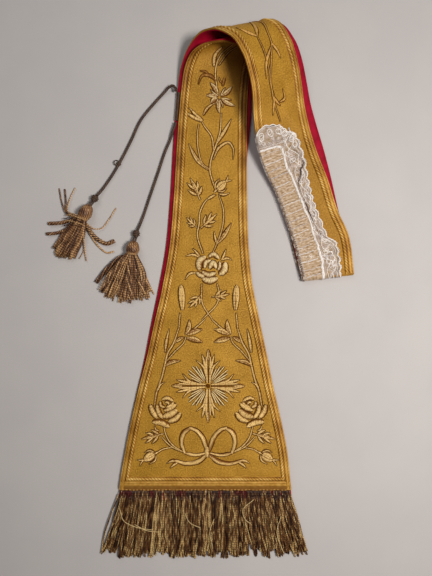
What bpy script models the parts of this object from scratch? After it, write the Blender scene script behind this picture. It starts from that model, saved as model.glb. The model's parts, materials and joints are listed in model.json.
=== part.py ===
"""A clerical stole of gold cloth lined with red silk, folded in two at its neck and laid down.

Its two arms lie on each other, lining to lining, and the pair is curled back once at the top.
SECTIONS follows the surface midway between the two plies: from the hems, up the left-hand arm,
over the curl and down the right-hand arm to the neck fold. On it, fold 0 is the ply that is
outermost in the curl and fold 1 is the ply inside it. Between them the cloth turns the neck fold.
Tables and small sizes are in millimetres, and the scene is in metres with Z up.
"""

import math
from collections import namedtuple

import bmesh
import bpy
import numpy as np
from mathutils import Vector

MM = 0.001
PLACE = np.array((-1.6, 13.3, 0.0)) * MM  # brings the middle of the footprint to the origin

# Thicknesses, in millimetres.
CLEAR = 0.3
LACE_CLEAR = 0.8
LINING_THICK = 1.0
CLOTH_THICK = 1.5
BRAID_THICK = 1.2
LACE_THICK = 1.0
MOTIF_THICK = 1.2

# Depths of each layer's two faces, measured outwards from a ply's inner face.
LINING = (0.0, LINING_THICK)
CLOTH = (LINING[1] + CLEAR, LINING[1] + CLEAR + CLOTH_THICK)
BRAID = (CLOTH[1] + CLEAR, CLOTH[1] + CLEAR + BRAID_THICK)
LACE = (CLOTH[1] + LACE_CLEAR, CLOTH[1] + LACE_CLEAR + LACE_THICK)
MOTIF = (CLOTH[1] + CLEAR, CLOTH[1] + CLEAR + MOTIF_THICK)

# Cut sizes, in millimetres.
UPPER_HEM = 16.0  # the upper hem stops this far short of the lower one
LINING_INSET = 1.5
BRAID_INSET = 8.0  # from the long edges
BRAID_WIDTH = 5.0
HEM_BRAID_INSET = 13.5  # from the upper hem
FRINGE_BACKING = 4.0
CORD_DIAMETER = 4.0

# x, y, z: the middle of the strip. turn: how far its right-hand edge swings away from +X towards
# +Y, and bank: how far that edge is raised, in degrees. gap_left, gap_right: the space between the
# linings at each edge. shift: how far the outer ply lies to the left of the inner one.
Section = namedtuple("Section", "x y z turn bank width gap_left gap_right shift")
SECTIONS = (
    Section(-33.0, -309.0, 2.95, 0, 0, 251, 0.3, 0.3, 0.0),
    Section(-33.0, -293.0, 2.95, 0, 0, 248, 0.3, 0.3, 0.0),
    Section(-31.7, -229.0, 2.95, 0, 0, 230, 0.3, 0.3, 0.5),
    Section(-32.0, -185.0, 2.95, 0, 0, 212, 0.3, 0.3, 1.0),
    Section(-32.5, -142.0, 2.95, 0, 0, 192, 0.3, 0.3, 2.0),
    Section(-32.0, -103.0, 2.95, 0, 0, 174, 0.3, 0.3, 3.5),
    Section(-32.5, -52.0, 2.95, 0, 0, 152, 0.3, 0.3, 5.0),
    Section(-32.5, -6.0, 2.95, 0, 0, 132, 0.3, 0.3, 6.0),
    Section(-30.5, 52.0, 2.95, 0, 0, 115, 0.3, 0.3, 6.0),
    Section(-28.5, 123.0, 2.95, 0, 0, 106, 0.3, 0.3, 6.0),
    Section(-26.5, 200.0, 2.95, 0, 0, 101, 0.3, 0.3, 6.0),
    Section(-24.5, 250.0, 2.95, 0, 0, 98, 0.3, 0.3, 6.0),
    Section(-22.0, 283.0, 5.0, 0, -1, 96, 1.5, 0.8, 6.0),
    Section(-17.0, 314.0, 9.5, 1, -6, 94, 5.0, 1.0, 6.0),
    Section(-8.0, 335.5, 17.5, 8, -12, 92, 9.0, 1.5, 6.0),
    Section(5.0, 347.5, 28.0, 16, -17, 90, 12.0, 2.0, 6.0),
    Section(21.0, 351.0, 37.5, 25, -20, 90, 12.0, 2.0, 7.0),
    Section(38.0, 343.5, 43.5, 29, -22, 88, 10.0, 2.0, 8.5),
    Section(54.0, 322.5, 44.0, 29, -23, 86.5, 7.0, 1.5, 11.0),
    Section(64.5, 297.5, 39.0, 28, -23, 86, 4.0, 1.0, 12.5),
    Section(71.0, 272.0, 31.5, 25, -22, 85, 2.5, 0.8, 13.0),
    Section(75.5, 246.5, 23.5, 21, -18, 83.5, 1.0, 0.6, 13.5),
    Section(83.5, 215.5, 15.0, 18, -11, 82, 0.5, 0.5, 14.0),
    Section(95.4, 180.6, 8.5, 18, -4, 79.5, 0.4, 0.4, 12.0),
    Section(108.8, 145.7, 5.6, 18, -1, 76, 0.4, 0.4, 7.0),
    Section(122.2, 100.3, 4.9, 17, 0, 74, 0.4, 0.4, 2.5),
    Section(134.5, 60.0, 4.9, 14, 0, 78, 0.4, 0.4, -3.0),
    Section(143.5, 15.0, 5.15, 6, 0, 73, 1.0, 1.0, -1.0),
)

FLAT_STEP = 46.0
CURL_STEP = 12.0
LANDED_STEP = 20.0
CURL = (559.0, 931.0)  # the course bends between these distances from the lower hem
BRAID_RISE = 640.0  # the lower half's braid shows from here on
BRAID_LAND = 820.0  # and the upper half's up to here
BRAID_TO_LACE = 2.0
FOLD_STEPS = 6
FLAT_SECTIONS = 14  # up to here each section lies further up the left-hand arm than the last
PROBE = 0.5  # half the distance over which the course's direction is read

COLUMNS = {name: np.array([getattr(row, name) for row in SECTIONS], float) for name in Section._fields}


def distances_between_sections():
    """The distance of each section from the lower hem, along the middle of the strip."""
    middles = np.stack([COLUMNS["x"], COLUMNS["y"], COLUMNS["z"]], axis=1)
    steps = np.linalg.norm(np.diff(middles, axis=0), axis=1)
    return np.concatenate([[0.0], np.cumsum(steps)])


STOPS = distances_between_sections()
NECK = STOPS[-1]


def through(name, along):
    """A column of SECTIONS at a distance along the course, on one smooth curve with no overshoot."""
    values = COLUMNS[name]
    slopes = np.gradient(values, STOPS)
    steps = np.diff(values)
    slopes[1:-1][steps[:-1] * steps[1:] <= 0] = 0.0
    low = min(max(int(np.searchsorted(STOPS, along, side="right")) - 1, 0), len(STOPS) - 2)
    span = STOPS[low + 1] - STOPS[low]
    t = (along - STOPS[low]) / span
    rise = t * t * (3 - 2 * t)
    start = slopes[low] * t * (1 - t) ** 2
    finish = slopes[low + 1] * t * t * (1 - t)
    return values[low] * (1 - rise) + values[low + 1] * rise + span * (start - finish)


def middle(along):
    return np.array([through("x", along), through("y", along), through("z", along)])


def half_width(along):
    return through("width", along) / 2


def row_distances():
    """Distances of the cloth's rows, close together where the course bends."""
    found = [0.0]
    while found[-1] < NECK:
        if found[-1] < CURL[0]:
            following = min(found[-1] + FLAT_STEP, CURL[0])
        elif found[-1] < CURL[1]:
            following = found[-1] + CURL_STEP
        else:
            following = found[-1] + LANDED_STEP
        if following > NECK - LANDED_STEP / 2:
            following = NECK
        found.append(following)
    return found


Frame = namedtuple("Frame", "middle across inward ahead half_width gap_left gap_right shift")


def frame_at(along):
    """The directions of the strip at one of its rows."""
    turn = math.radians(through("turn", along))
    bank = math.radians(through("bank", along))
    level = math.cos(bank)
    across = np.array((math.cos(turn) * level, math.sin(turn) * level, math.sin(bank)))
    ahead = middle(min(along + PROBE, NECK)) - middle(max(along - PROBE, 0.0))
    inward = np.cross(across, ahead)
    inward /= np.linalg.norm(inward)
    sizes = (through(name, along) for name in ("gap_left", "gap_right", "shift"))
    return Frame(
        middle(along), across, inward, np.cross(inward, across), half_width(along), *sizes
    )


ROWS = row_distances()
FRAMES = [frame_at(along) for along in ROWS]


def point_on_row(frame, fold, lateral, depth):
    angle = math.pi * fold
    sideways = lateral - math.cos(angle) * frame.shift / 2
    outwards = math.sin(angle) * frame.ahead - math.cos(angle) * frame.inward
    share = (1 + lateral / frame.half_width) / 2
    gap = frame.gap_left * (1 - share) + frame.gap_right * share
    return frame.middle + sideways * frame.across + (gap / 2 + depth) * outwards


def cloth_point(along, fold, lateral, depth):
    """A point of a ply, in metres. lateral runs to the right from the ply's own middle line."""
    low = min(max(int(np.searchsorted(ROWS, along, side="right")) - 1, 0), len(ROWS) - 2)
    part = (along - ROWS[low]) / (ROWS[low + 1] - ROWS[low])
    first = point_on_row(FRAMES[low], fold, lateral, depth)
    second = point_on_row(FRAMES[low + 1], fold, lateral, depth)
    return (first * (1 - part) + second * part) * MM + PLACE


def route(start, end, fold):
    """(along, fold) of the rows from start to end on one ply."""
    between = [along for along in ROWS if start < along < end]
    return [(along, fold) for along in (start, *between, end)]


def bending_route(start, end, fold):
    """As route, but ending on whole rows, where the course bends."""
    return [(along, fold) for along in ROWS if start <= along <= end]


def neck_route():
    """Rows round the neck fold, past the end of the outer ply and short of the inner one's."""
    return [(NECK, step / FOLD_STEPS) for step in range(1, FOLD_STEPS + 1)]


def named_material(name, colour, roughness, metallic):
    material = bpy.data.materials.new(name)
    material.use_nodes = True
    shader = material.node_tree.nodes["Principled BSDF"]
    shader.inputs["Base Color"].default_value = (*colour, 1.0)
    shader.inputs["Roughness"].default_value = roughness
    shader.inputs["Metallic"].default_value = metallic
    return material


def add_object(name, mesh, material, collection):
    mesh.materials.append(material)
    found = bpy.data.objects.new(name, mesh)
    collection.objects.link(found)
    return found


def mesh_of(form, name):
    """The mesh of a bmesh, with its faces turned out."""
    bmesh.ops.recalc_face_normals(form, faces=form.faces)
    mesh = bpy.data.meshes.new(name)
    form.to_mesh(mesh)
    form.free()
    return mesh


def split_quad(form, first, second, third, fourth):
    """Two triangles on the same diagonal everywhere, so that layers stay parallel."""
    form.faces.new((first, second, third))
    form.faces.new((first, third, fourth))


def strip_mesh(name, rows, depths):
    """A closed strip. rows holds rows of (along, fold, lateral), and depths its two faces."""
    form = bmesh.new()
    low, high = (
        [[form.verts.new(cloth_point(*spot, depth)) for spot in row] for row in rows]
        for depth in depths
    )
    last_row = len(rows) - 1
    last_column = len(rows[0]) - 1
    for i in range(last_row):
        for j in range(last_column):
            for grid in (low, high):
                corners = (grid[i][j], grid[i][j + 1], grid[i + 1][j + 1], grid[i + 1][j])
                split_quad(form, *corners)
        for j in (0, last_column):
            split_quad(form, low[i][j], low[i + 1][j], high[i + 1][j], high[i][j])
    for i in (0, last_row):
        for j in range(last_column):
            split_quad(form, low[i][j], low[i][j + 1], high[i][j + 1], high[i][j])
    return mesh_of(form, name)


def full_width_rows(path, inset):
    """Rows across the whole strip, with a column under each side of the braid."""
    rows = []
    for along, fold in path:
        half = half_width(along)
        right = (half - BRAID_INSET - BRAID_WIDTH, half - BRAID_INSET, half - inset)
        left = tuple(-lateral for lateral in reversed(right))
        rows.append([(along, fold, lateral) for lateral in (*left, 0.0, *right)])
    return rows


def edge_rows(path, side, inset, width):
    """Rows of a narrow strip that follows one edge. side is -1 on the left and 1 on the right."""
    return [
        [
            (along, fold, side * (half_width(along) - inset)),
            (along, fold, side * (half_width(along) - inset - width)),
        ]
        for along, fold in path
    ]


def add_panels(collection, gold, red):
    """The two halves of the stole and their linings. The lower half turns the neck fold."""
    lower = route(0.0, NECK, 0.0) + neck_route()
    upper = route(UPPER_HEM, NECK - CLEAR, 1.0)
    for name, path in (("panel_lower", lower), ("panel_upper", upper)):
        mesh = strip_mesh(name, full_width_rows(path, 0.0), CLOTH)
        add_object(name, mesh, gold, collection)
    for name, path in (("lining_lower", lower), ("lining_upper", upper)):
        mesh = strip_mesh(name, full_width_rows(path, LINING_INSET), LINING)
        add_object(name, mesh, red, collection)


def add_braids(collection, braid):
    """The couched rope braid: one length round the upper half, and one on each edge of the lower."""
    corner = UPPER_HEM + HEM_BRAID_INSET
    path = [(corner + BRAID_WIDTH, 1.0)] + bending_route(corner + 2 * BRAID_WIDTH, BRAID_LAND, 1.0)
    left = edge_rows(path, -1, BRAID_INSET, BRAID_WIDTH)
    right = edge_rows(path, 1, BRAID_INSET, BRAID_WIDTH)
    mitres = []
    for side in (-1, 1):
        outer = side * (half_width(corner) - BRAID_INSET)
        inner = side * (half_width(corner + BRAID_WIDTH) - BRAID_INSET - BRAID_WIDTH)
        mitres.append([(corner, 1.0, outer), (corner + BRAID_WIDTH, 1.0, inner)])
    rows = left[:0:-1] + mitres + right[1:]
    add_object("braid_upper", strip_mesh("braid_upper", rows, BRAID), braid, collection)
    for name, side, end in (
        ("braid_lower_left", -1, LACE_TOP - BRAID_TO_LACE),
        ("braid_lower_right", 1, NECK),
    ):
        rows = edge_rows(bending_route(BRAID_RISE, end, 0.0), side, BRAID_INSET, BRAID_WIDTH)
        add_object(name, strip_mesh(name, rows, BRAID), braid, collection)


# The lace guard that protects the neck: how wide it is at each distance from the neck fold.
LaceRow = namedtuple("LaceRow", "from_neck width")
LACE_WIDTHS = (
    LaceRow(0.0, 54.0),
    LaceRow(20.0, 57.0),
    LaceRow(42.0, 58.0),
    LaceRow(56.0, 47.0),
    LaceRow(80.0, 46.0),
    LaceRow(110.0, 45.0),
    LaceRow(140.0, 49.0),
    LaceRow(168.0, 58.0),
    LaceRow(188.0, 60.0),
    LaceRow(206.0, 58.0),
    LaceRow(224.0, 45.0),
)
LACE_LENGTH = LACE_WIDTHS[-1].from_neck
LACE_UNDER = 150.0  # how far the guard runs up the underside
LACE_TOP = NECK - LACE_LENGTH
LACE_STEP = 5.0
LACE_UNDER_STEPS = 10
LACE_COLUMNS = 4
LACE_LAP = 0.4  # how far it reaches past the strip's left edge
SCALLOP_PITCH = 16.0
SCALLOP_DEPTH = 2.4


def lace_row(along, fold):
    """One row of the guard, from the strip's left edge to its scalloped right one."""
    from_neck = NECK - along
    table = np.array(LACE_WIDTHS, float)
    width = np.interp(from_neck, table[:, 0], table[:, 1])
    width += SCALLOP_DEPTH * (abs(math.sin(math.pi * from_neck / SCALLOP_PITCH)) - 0.5)
    left = -half_width(along) - LACE_LAP
    return [(along, fold, left + width * v) for v in np.linspace(0, 1, LACE_COLUMNS)]


def add_lace(collection, lace):
    """The lace guard, over the top ply, round the neck fold and under the bottom ply."""
    top = [(LACE_TOP + step * LACE_STEP, 0.0) for step in range(int(LACE_LENGTH // LACE_STEP))]
    under_step = LACE_UNDER / LACE_UNDER_STEPS
    under = [(NECK - under_step * step, 1.0) for step in range(1, LACE_UNDER_STEPS + 1)]
    path = top + [(NECK, 0.0)] + neck_route() + under
    rows = [lace_row(along, fold) for along, fold in path]
    add_object("lace_guard", strip_mesh("lace_guard", rows, LACE), lace, collection)


# Fringes. low, high: the backing's two faces. spread: how far the outermost strands splay past
# the hem at each side. phase: where the strands' sway and uneven lengths start.
Fringe = namedtuple("Fringe", "name hem low high root_z tip_z length spread_left spread_right phase")
FRINGES = (
    Fringe("fringe_lower", 0.0, 0.3, 2.7, 1.5, 1.4, 85.0, 22.0, 14.0, 0.4),
    Fringe("fringe_upper", UPPER_HEM, 3.3, 5.9, 4.6, 4.1, 97.0, 25.0, 16.0, 1.7),
)
STRANDS = 68
STRAND_RADIUS = 1.2
STRAND_SIDES = 3
STRAND_INSET = 2.6  # the end strands stand this far inside the backing
STRAND_PARTS = 3
STRAND_ROOT = 0.85  # a strand's thickness at its root and at its tip, as a share of its own
STRAND_TIP = 0.5
STRAND_SWAY = 2.4
STRANDS_TO_SWAY = 5  # strands to each radian of the sway
UNEVEN_SHARE = 0.035
UNEVEN_TURN = 7.3


def add_tube(form, path, radii, sides, up=(0.0, 0.0, 1.0)):
    """A closed prism along a path, in millimetres. Its sections stand across the path."""
    rings = []
    for i, spot in enumerate(path):
        ahead = Vector(path[min(i + 1, len(path) - 1)]) - Vector(path[max(i - 1, 0)])
        side = ahead.cross(Vector(up)).normalized()
        top = side.cross(ahead).normalized()
        ring = []
        for k in range(sides):
            angle = math.tau * k / sides + math.pi / 2
            offset = (side * math.cos(angle) + top * math.sin(angle)) * radii[i]
            ring.append(form.verts.new((Vector(spot) + offset) * MM + Vector(PLACE)))
        rings.append(ring)
    for first, second in zip(rings, rings[1:]):
        for k in range(sides):
            after = (k + 1) % sides
            form.faces.new((first[k], first[after], second[after], second[k]))
    form.faces.new(rings[0])
    form.faces.new(rings[-1])


def joined(name, body, strands):
    """The union of a backing and the strands rooted in it."""
    rooted = bpy.data.objects.new(name, body)
    cutter = bpy.data.objects.new(name + "_strands", strands)
    for found in (rooted, cutter):
        bpy.context.scene.collection.objects.link(found)
    union = rooted.modifiers.new("Strands", "BOOLEAN")
    union.operation = "UNION"
    union.object = cutter
    graph = bpy.context.evaluated_depsgraph_get()
    mesh = bpy.data.meshes.new_from_object(rooted.evaluated_get(graph))
    for found in (rooted, cutter):
        bpy.data.objects.remove(found, do_unlink=True)
    mesh.name = name
    return mesh


def box_mesh(name, low, high):
    form = bmesh.new()
    bmesh.ops.create_cube(form, size=1.0)
    low, high = Vector(low) * MM, Vector(high) * MM
    for vertex in form.verts:
        spot = [low[k] if vertex.co[k] < 0 else high[k] for k in range(3)]
        vertex.co = Vector(spot) + Vector(PLACE)
    return mesh_of(form, name)


def fringe_mesh(row):
    """A narrow backing parted from the hem, with bullion strands rooted in it."""
    edge = middle(row.hem)
    centre = edge[0] + (1 if row.hem else -1) * through("shift", row.hem) / 2
    half = half_width(row.hem)
    top = edge[1] - CLEAR
    low = (centre - half, top - FRINGE_BACKING, row.low)
    high = (centre + half, top, row.high)
    middles = [1.0] * (STRAND_PARTS - 1)
    radii = [STRAND_RADIUS * share for share in (STRAND_ROOT, *middles, STRAND_TIP)]
    form = bmesh.new()
    for k in range(STRANDS):
        v = 2 * (k + 0.5) / STRANDS - 1
        spread = row.spread_right if v > 0 else row.spread_left
        length = row.length * (1 + UNEVEN_SHARE * math.sin(UNEVEN_TURN * k + row.phase))
        path = []
        for step in range(STRAND_PARTS + 1):
            part = step / STRAND_PARTS
            sway = STRAND_SWAY * math.sin(k / STRANDS_TO_SWAY + row.phase) * part * part
            x = centre + v * (half - STRAND_INSET) + spread * v * abs(v) * part + sway
            y = top - FRINGE_BACKING / 2 - (length - FRINGE_BACKING / 2) * part
            path.append((x, y, row.root_z + (row.tip_z - row.root_z) * part))
        add_tube(form, path, radii, STRAND_SIDES)
    strands = mesh_of(form, row.name + "_strands")
    return joined(row.name, box_mesh(row.name, low, high), strands)


# The cord's hand-laid routes, from the stole to each tassel: x, y and z of its middle line.
HELD_ENDS = (547.0, 587.0)  # the stretch tacked to the left edge, in distance from the lower hem
CORD_UPPER = (
    (-74.9, 279.0, 8.0),
    (-75.8, 283.6, 8.0),
    (-79.5, 287.0, 7.6),
    (-84.5, 286.0, 5.4),
    (-91.0, 280.5, 3.0),
    (-108.5, 261.7, 2.4),
    (-125.8, 240.0, 2.4),
    (-140.3, 209.6, 2.4),
    (-155.5, 180.0, 2.4),
    (-171.5, 153.5, 2.5),
    (-183.5, 136.5, 3.6),
    (-188.3, 130.3, 5.4),
)
CORD_LOWER = (
    (-75.6, 235.0, 5.4),
    (-77.2, 229.0, 5.4),
    (-79.9, 221.5, 4.9),
    (-83.6, 211.0, 3.0),
    (-89.7, 197.2, 2.4),
    (-101.2, 163.3, 2.4),
    (-113.4, 127.7, 2.4),
    (-123.5, 98.0, 2.6),
    (-128.4, 84.6, 4.4),
    (-130.0, 80.6, 5.4),
)
CORD_SPACING = 9.0
HELD_POINTS = 6
HELD_LAP = 1.0  # how far inside the edge the held stretch's outer side lies

# Tassels: the knob's middle, the way the tassel points (degrees from +X), the lengths of the
# head and of the skirt, and the half width that the skirt fans to.
Tassel = namedtuple("Tassel", "name x y heading head length fan")
TASSELS = (
    Tassel("upper", -191.6, 125.8, 240.0, 29.0, 61.0, 17.0),
    Tassel("lower", -132.0, 75.2, 259.0, 25.0, 67.0, 34.0),
)
KNOB_RADIUS = 5.6
KNOB_CLEAR = 0.2  # the space under it
HEAD_Z = 9.4
HEAD_SIDES = 14
HEAD_PROFILE = (  # how far along the head, as a share of its length, and its radius there
    (0.0, 2.4),
    (0.2, 2.4),
    (0.27, 5.0),
    (0.45, 7.8),
    (0.72, 9.0),
    (0.9, 8.8),
    (1.0, 8.4),
)
SKIRT_ROWS = (  # how many strands, their height in the head, and the height of their tips
    (8, -4.0, 1.6),
    (9, 0.0, 4.1),
    (8, 4.0, 6.6),
)
SKIRT_ROOT = 3.0  # how far inside the head a strand starts
SKIRT_INSET = 1.0  # and how far from the head's side
SKIRT_RADII = (0.75, 1.2, 0.7)
SKIRT_ROUND = 0.10  # how much shorter the outermost strands are, as a share
SKIRT_UNEVEN = 0.03
SKIRT_TURN = 5.1
SKIRT_BELLY = 0.12
BELLY_DROP = 0.7


def smooth_route(points, spacing):
    """Points at an even spacing along one smooth curve through a route's own points."""
    route_points = np.array(points, float)
    steps = np.linalg.norm(np.diff(route_points, axis=0), axis=1)
    at = np.concatenate([[0.0], np.cumsum(steps)])
    slopes = np.gradient(route_points, at, axis=0)
    found = []
    for along in np.linspace(0, at[-1], int(at[-1] / spacing) + 1):
        low = min(int(np.searchsorted(at, along, side="right")) - 1, len(at) - 2)
        span = at[low + 1] - at[low]
        t = (along - at[low]) / span
        rise = t * t * (3 - 2 * t)
        start = slopes[low] * t * (1 - t) ** 2
        finish = slopes[low + 1] * t * t * (1 - t)
        ends = route_points[low] * (1 - rise) + route_points[low + 1] * rise
        found.append(ends + span * (start - finish))
    return found


def add_cord(name, points, material, collection):
    """A tube through points given in metres."""
    curve = bpy.data.curves.new(name, "CURVE")
    curve.dimensions = "3D"
    curve.bevel_depth = CORD_DIAMETER / 2 * MM
    curve.bevel_resolution = 2
    curve.use_fill_caps = True
    spline = curve.splines.new("POLY")
    spline.points.add(len(points) - 1)
    for point, spot in zip(spline.points, points):
        point.co = (*spot, 1.0)
    add_object(name, curve, material, collection)


def add_cords(collection, silk):
    """The stretch tacked to the stole's left edge, and the two free ends."""
    above = -(CLEAR + CORD_DIAMETER / 2)
    held = []
    for along in np.linspace(*HELD_ENDS, HELD_POINTS):
        lateral = -half_width(along) + CORD_DIAMETER / 2 + HELD_LAP
        held.append(cloth_point(along, 0.0, lateral, above))
    add_cord("cord_held", held, silk, collection)
    for name, points in (("cord_upper", CORD_UPPER), ("cord_lower", CORD_LOWER)):
        laid = [spot * MM + PLACE for spot in smooth_route(points, CORD_SPACING)]
        add_cord(name, laid, silk, collection)


def tassel_direction(tassel):
    heading = math.radians(tassel.heading)
    return Vector((math.cos(heading), math.sin(heading), 0.0))


def turned_head(name, start, along):
    """The tassel's narrow neck and round head, turned about their own axis, with flat ends."""
    form = bmesh.new()
    path = [start + along * at for at, radius in HEAD_PROFILE]
    add_tube(form, path, [radius for at, radius in HEAD_PROFILE], HEAD_SIDES)
    return mesh_of(form, name)


def add_tassel(tassel, collection, silk, bullion):
    """A knob on the cord, and beyond it a bound head with the roots of its skirt in it."""
    ahead = tassel_direction(tassel)
    aside = Vector((-ahead.y, ahead.x, 0.0))
    middle_of_knob = Vector((tassel.x, tassel.y, KNOB_RADIUS + KNOB_CLEAR))
    form = bmesh.new()
    bmesh.ops.create_uvsphere(form, u_segments=12, v_segments=8, radius=KNOB_RADIUS * MM)
    bmesh.ops.translate(form, verts=form.verts, vec=middle_of_knob * MM + Vector(PLACE))
    name = "tassel_knob_" + tassel.name
    add_object(name, mesh_of(form, name), silk, collection)

    start = Vector((tassel.x, tassel.y, HEAD_Z)) + ahead * (KNOB_RADIUS + CLEAR)
    name = "tassel_" + tassel.name
    head = turned_head(name, start, ahead * tassel.head)
    end = start + ahead * tassel.head
    form = bmesh.new()
    for number, rise, tip_z in SKIRT_ROWS:
        for k in range(number):
            v = 2 * (k + 0.5) / number - 1
            root_reach = math.sqrt(HEAD_PROFILE[-1][1] ** 2 - rise**2) - SKIRT_INSET
            root = end - ahead * SKIRT_ROOT + aside * (v * root_reach) + Vector((0, 0, rise))
            uneven = SKIRT_UNEVEN * math.sin(SKIRT_TURN * k + rise)
            tip = end + ahead * (tassel.length * (1 - SKIRT_ROUND * v * v + uneven))
            tip += aside * (v * tassel.fan)
            tip.z = tip_z
            belly = root.lerp(tip, 0.5) + aside * (v * tassel.fan * SKIRT_BELLY)
            belly.z = (1 - BELLY_DROP) * root.z + BELLY_DROP * tip_z
            add_tube(form, [root, belly, tip], SKIRT_RADII, STRAND_SIDES)
    strands = mesh_of(form, name + "_strands")
    add_object(name, joined(name, head, strands), bullion, collection)


# Raised embroidery on the left-hand arm. x and y are places on the arm, and headings and turns
# are in degrees from +X. cut: how deep the notches between petals are, as a share of the radius.
Bloom = namedtuple("Bloom", "name x y radius petals cut turn")
BLOOMS = (
    Bloom("rose_left", -89.0, -182.0, 21.5, 5, 0.16, 18.0),
    Bloom("rose_right", 31.4, -182.0, 21.5, 5, 0.16, 54.0),
    Bloom("rose_middle", -24.4, 25.0, 21.5, 5, 0.16, 30.0),
    Bloom("lily", -13.0, 268.0, 21.0, 6, 0.52, 12.0),
)
PETAL_POINTS = 5  # outline points to a petal
LEAF_POINTS = 5  # outline points to each side of a leaf
LEAF_SKEW = 0.25  # how far a leaf's widest place lies from its middle
BLOOM_CROWN = 0.55  # the flat top's size, as a share of the outline's
LEAF_CROWN = 0.45
Leaf = namedtuple("Leaf", "name x y length width heading")
LEAVES = (
    Leaf("bud_low_left", -113.0, -245.5, 34.0, 13.0, 209.0),
    Leaf("bud_low_right", 55.2, -245.5, 34.0, 13.0, 331.0),
    Leaf("bud_upright_left", -66.7, -17.0, 38.0, 10.0, 93.0),
    Leaf("bud_upright_right", 11.3, -17.0, 38.0, 10.0, 87.0),
    Leaf("bud_middle", -9.5, 143.5, 28.0, 15.0, 42.0),
    Leaf("bud_high", -47.0, 243.5, 24.0, 9.0, 147.0),
    Leaf("leaf_left", -62.0, -70.0, 30.0, 14.0, 110.0),
    Leaf("leaf_right", 4.0, -70.0, 30.0, 14.0, 70.0),
)
CROSS_MIDDLE = (-28.9, -143.4)
CROSS_ARM = (  # an arm's half width at each distance from the cross's middle
    (4.5, 4.5),
    (18.0, 4.0),
    (27.0, 5.5),
    (32.0, 11.5),
    (38.0, 12.5),
    (42.0, 7.5),
    (52.0, 0.8),
)
BOW_MIDDLE = (-28.9, -238.0)
BOW_HALF = (  # the right-hand half of the bow's outline, from above the knot round to below it
    (0.0, 6.0),
    (5.0, 5.0),
    (11.0, 22.0),
    (20.0, 33.0),
    (29.0, 36.5),
    (38.0, 29.0),
    (42.0, 13.0),
    (38.0, -2.0),
    (26.0, -6.0),
    (14.0, -7.0),
    (32.0, -13.5),
    (46.0, -10.0),
    (60.0, -18.0),
    (54.0, -25.0),
    (44.0, -18.5),
    (30.0, -21.0),
    (12.0, -15.0),
    (0.0, -9.0),
)


def arm_point(x, y, depth):
    """A point over the left-hand arm's top face, where that arm runs straight up its own length."""
    along = float(np.interp(y, COLUMNS["y"][:FLAT_SECTIONS], STOPS[:FLAT_SECTIONS]))
    lateral = x - through("x", along) - through("shift", along) / 2
    return cloth_point(along, 1.0, lateral, depth)


def domed_mesh(name, outline, crown):
    """A low solid on an outline, flat below, its rim half as high as its crown."""
    form = bmesh.new()
    low, high = MOTIF
    rim = low + (high - low) / 2
    base = [form.verts.new(arm_point(x, y, low)) for x, y in outline]
    edge = [form.verts.new(arm_point(x, y, rim)) for x, y in outline]
    top = [form.verts.new(arm_point(x, y, high)) for x, y in crown]
    for k in range(len(outline)):
        after = (k + 1) % len(outline)
        form.faces.new((base[k], base[after], edge[after], edge[k]))
        form.faces.new((edge[k], edge[after], top[after], top[k]))
    form.faces.new(top)
    form.faces.new(base)
    return mesh_of(form, name)


def shrunk(outline, middle_point, scale):
    return [
        (middle_point[0] + (x - middle_point[0]) * scale, middle_point[1] + (y - middle_point[1]) * scale)
        for x, y in outline
    ]


def bloom_outline(bloom):
    found = []
    for k in range(bloom.petals * PETAL_POINTS):
        angle = math.tau * k / (bloom.petals * PETAL_POINTS)
        lobe = abs(math.cos(bloom.petals * angle / 2))
        reach = bloom.radius * (1 - bloom.cut * (1 - lobe))
        angle += math.radians(bloom.turn)
        found.append((bloom.x + reach * math.cos(angle), bloom.y + reach * math.sin(angle)))
    return found


def leaf_outline(leaf):
    heading = math.radians(leaf.heading)
    found = []
    for k in range(2 * LEAF_POINTS):
        angle = math.pi * k / LEAF_POINTS
        ahead = math.cos(angle) * leaf.length / 2
        aside = math.sin(angle) * leaf.width / 2 * (1 - LEAF_SKEW * math.cos(angle))
        x = leaf.x + ahead * math.cos(heading) - aside * math.sin(heading)
        y = leaf.y + ahead * math.sin(heading) + aside * math.cos(heading)
        found.append((x, y))
    return found


def cross_outline():
    """Four arms alike, each ending in a leafy point."""
    found = []
    for quarter in range(4):
        turn = math.pi / 2 * quarter
        side = list(CROSS_ARM) + [(reach, -half) for reach, half in reversed(CROSS_ARM[1:])]
        for reach, half in side:
            x = CROSS_MIDDLE[0] + reach * math.cos(turn) + half * math.sin(turn)
            y = CROSS_MIDDLE[1] + reach * math.sin(turn) - half * math.cos(turn)
            found.append((x, y))
    return found


def bow_outline():
    left = [(-x, y) for x, y in reversed(BOW_HALF[1:-1])]
    return [(BOW_MIDDLE[0] + x, BOW_MIDDLE[1] + y) for x, y in (*BOW_HALF, *left)]


def add_motifs(collection, thread):
    """The padded embroidery that stands highest: the cross, the bow, the blooms and their buds."""
    outlines = [("cross", cross_outline(), None), ("bow", bow_outline(), None)]
    for bloom in BLOOMS:
        outlines.append((bloom.name, bloom_outline(bloom), BLOOM_CROWN))
    for leaf in LEAVES:
        outlines.append((leaf.name, leaf_outline(leaf), LEAF_CROWN))
    for name, outline, scale in outlines:
        if scale is None:
            crown = outline
        else:
            middle_point = np.mean(np.array(outline), axis=0)
            crown = shrunk(outline, middle_point, scale)
        add_object(name, domed_mesh(name, outline, crown), thread, collection)


def clear_scene():
    for found in list(bpy.data.objects):
        bpy.data.objects.remove(found, do_unlink=True)


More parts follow.
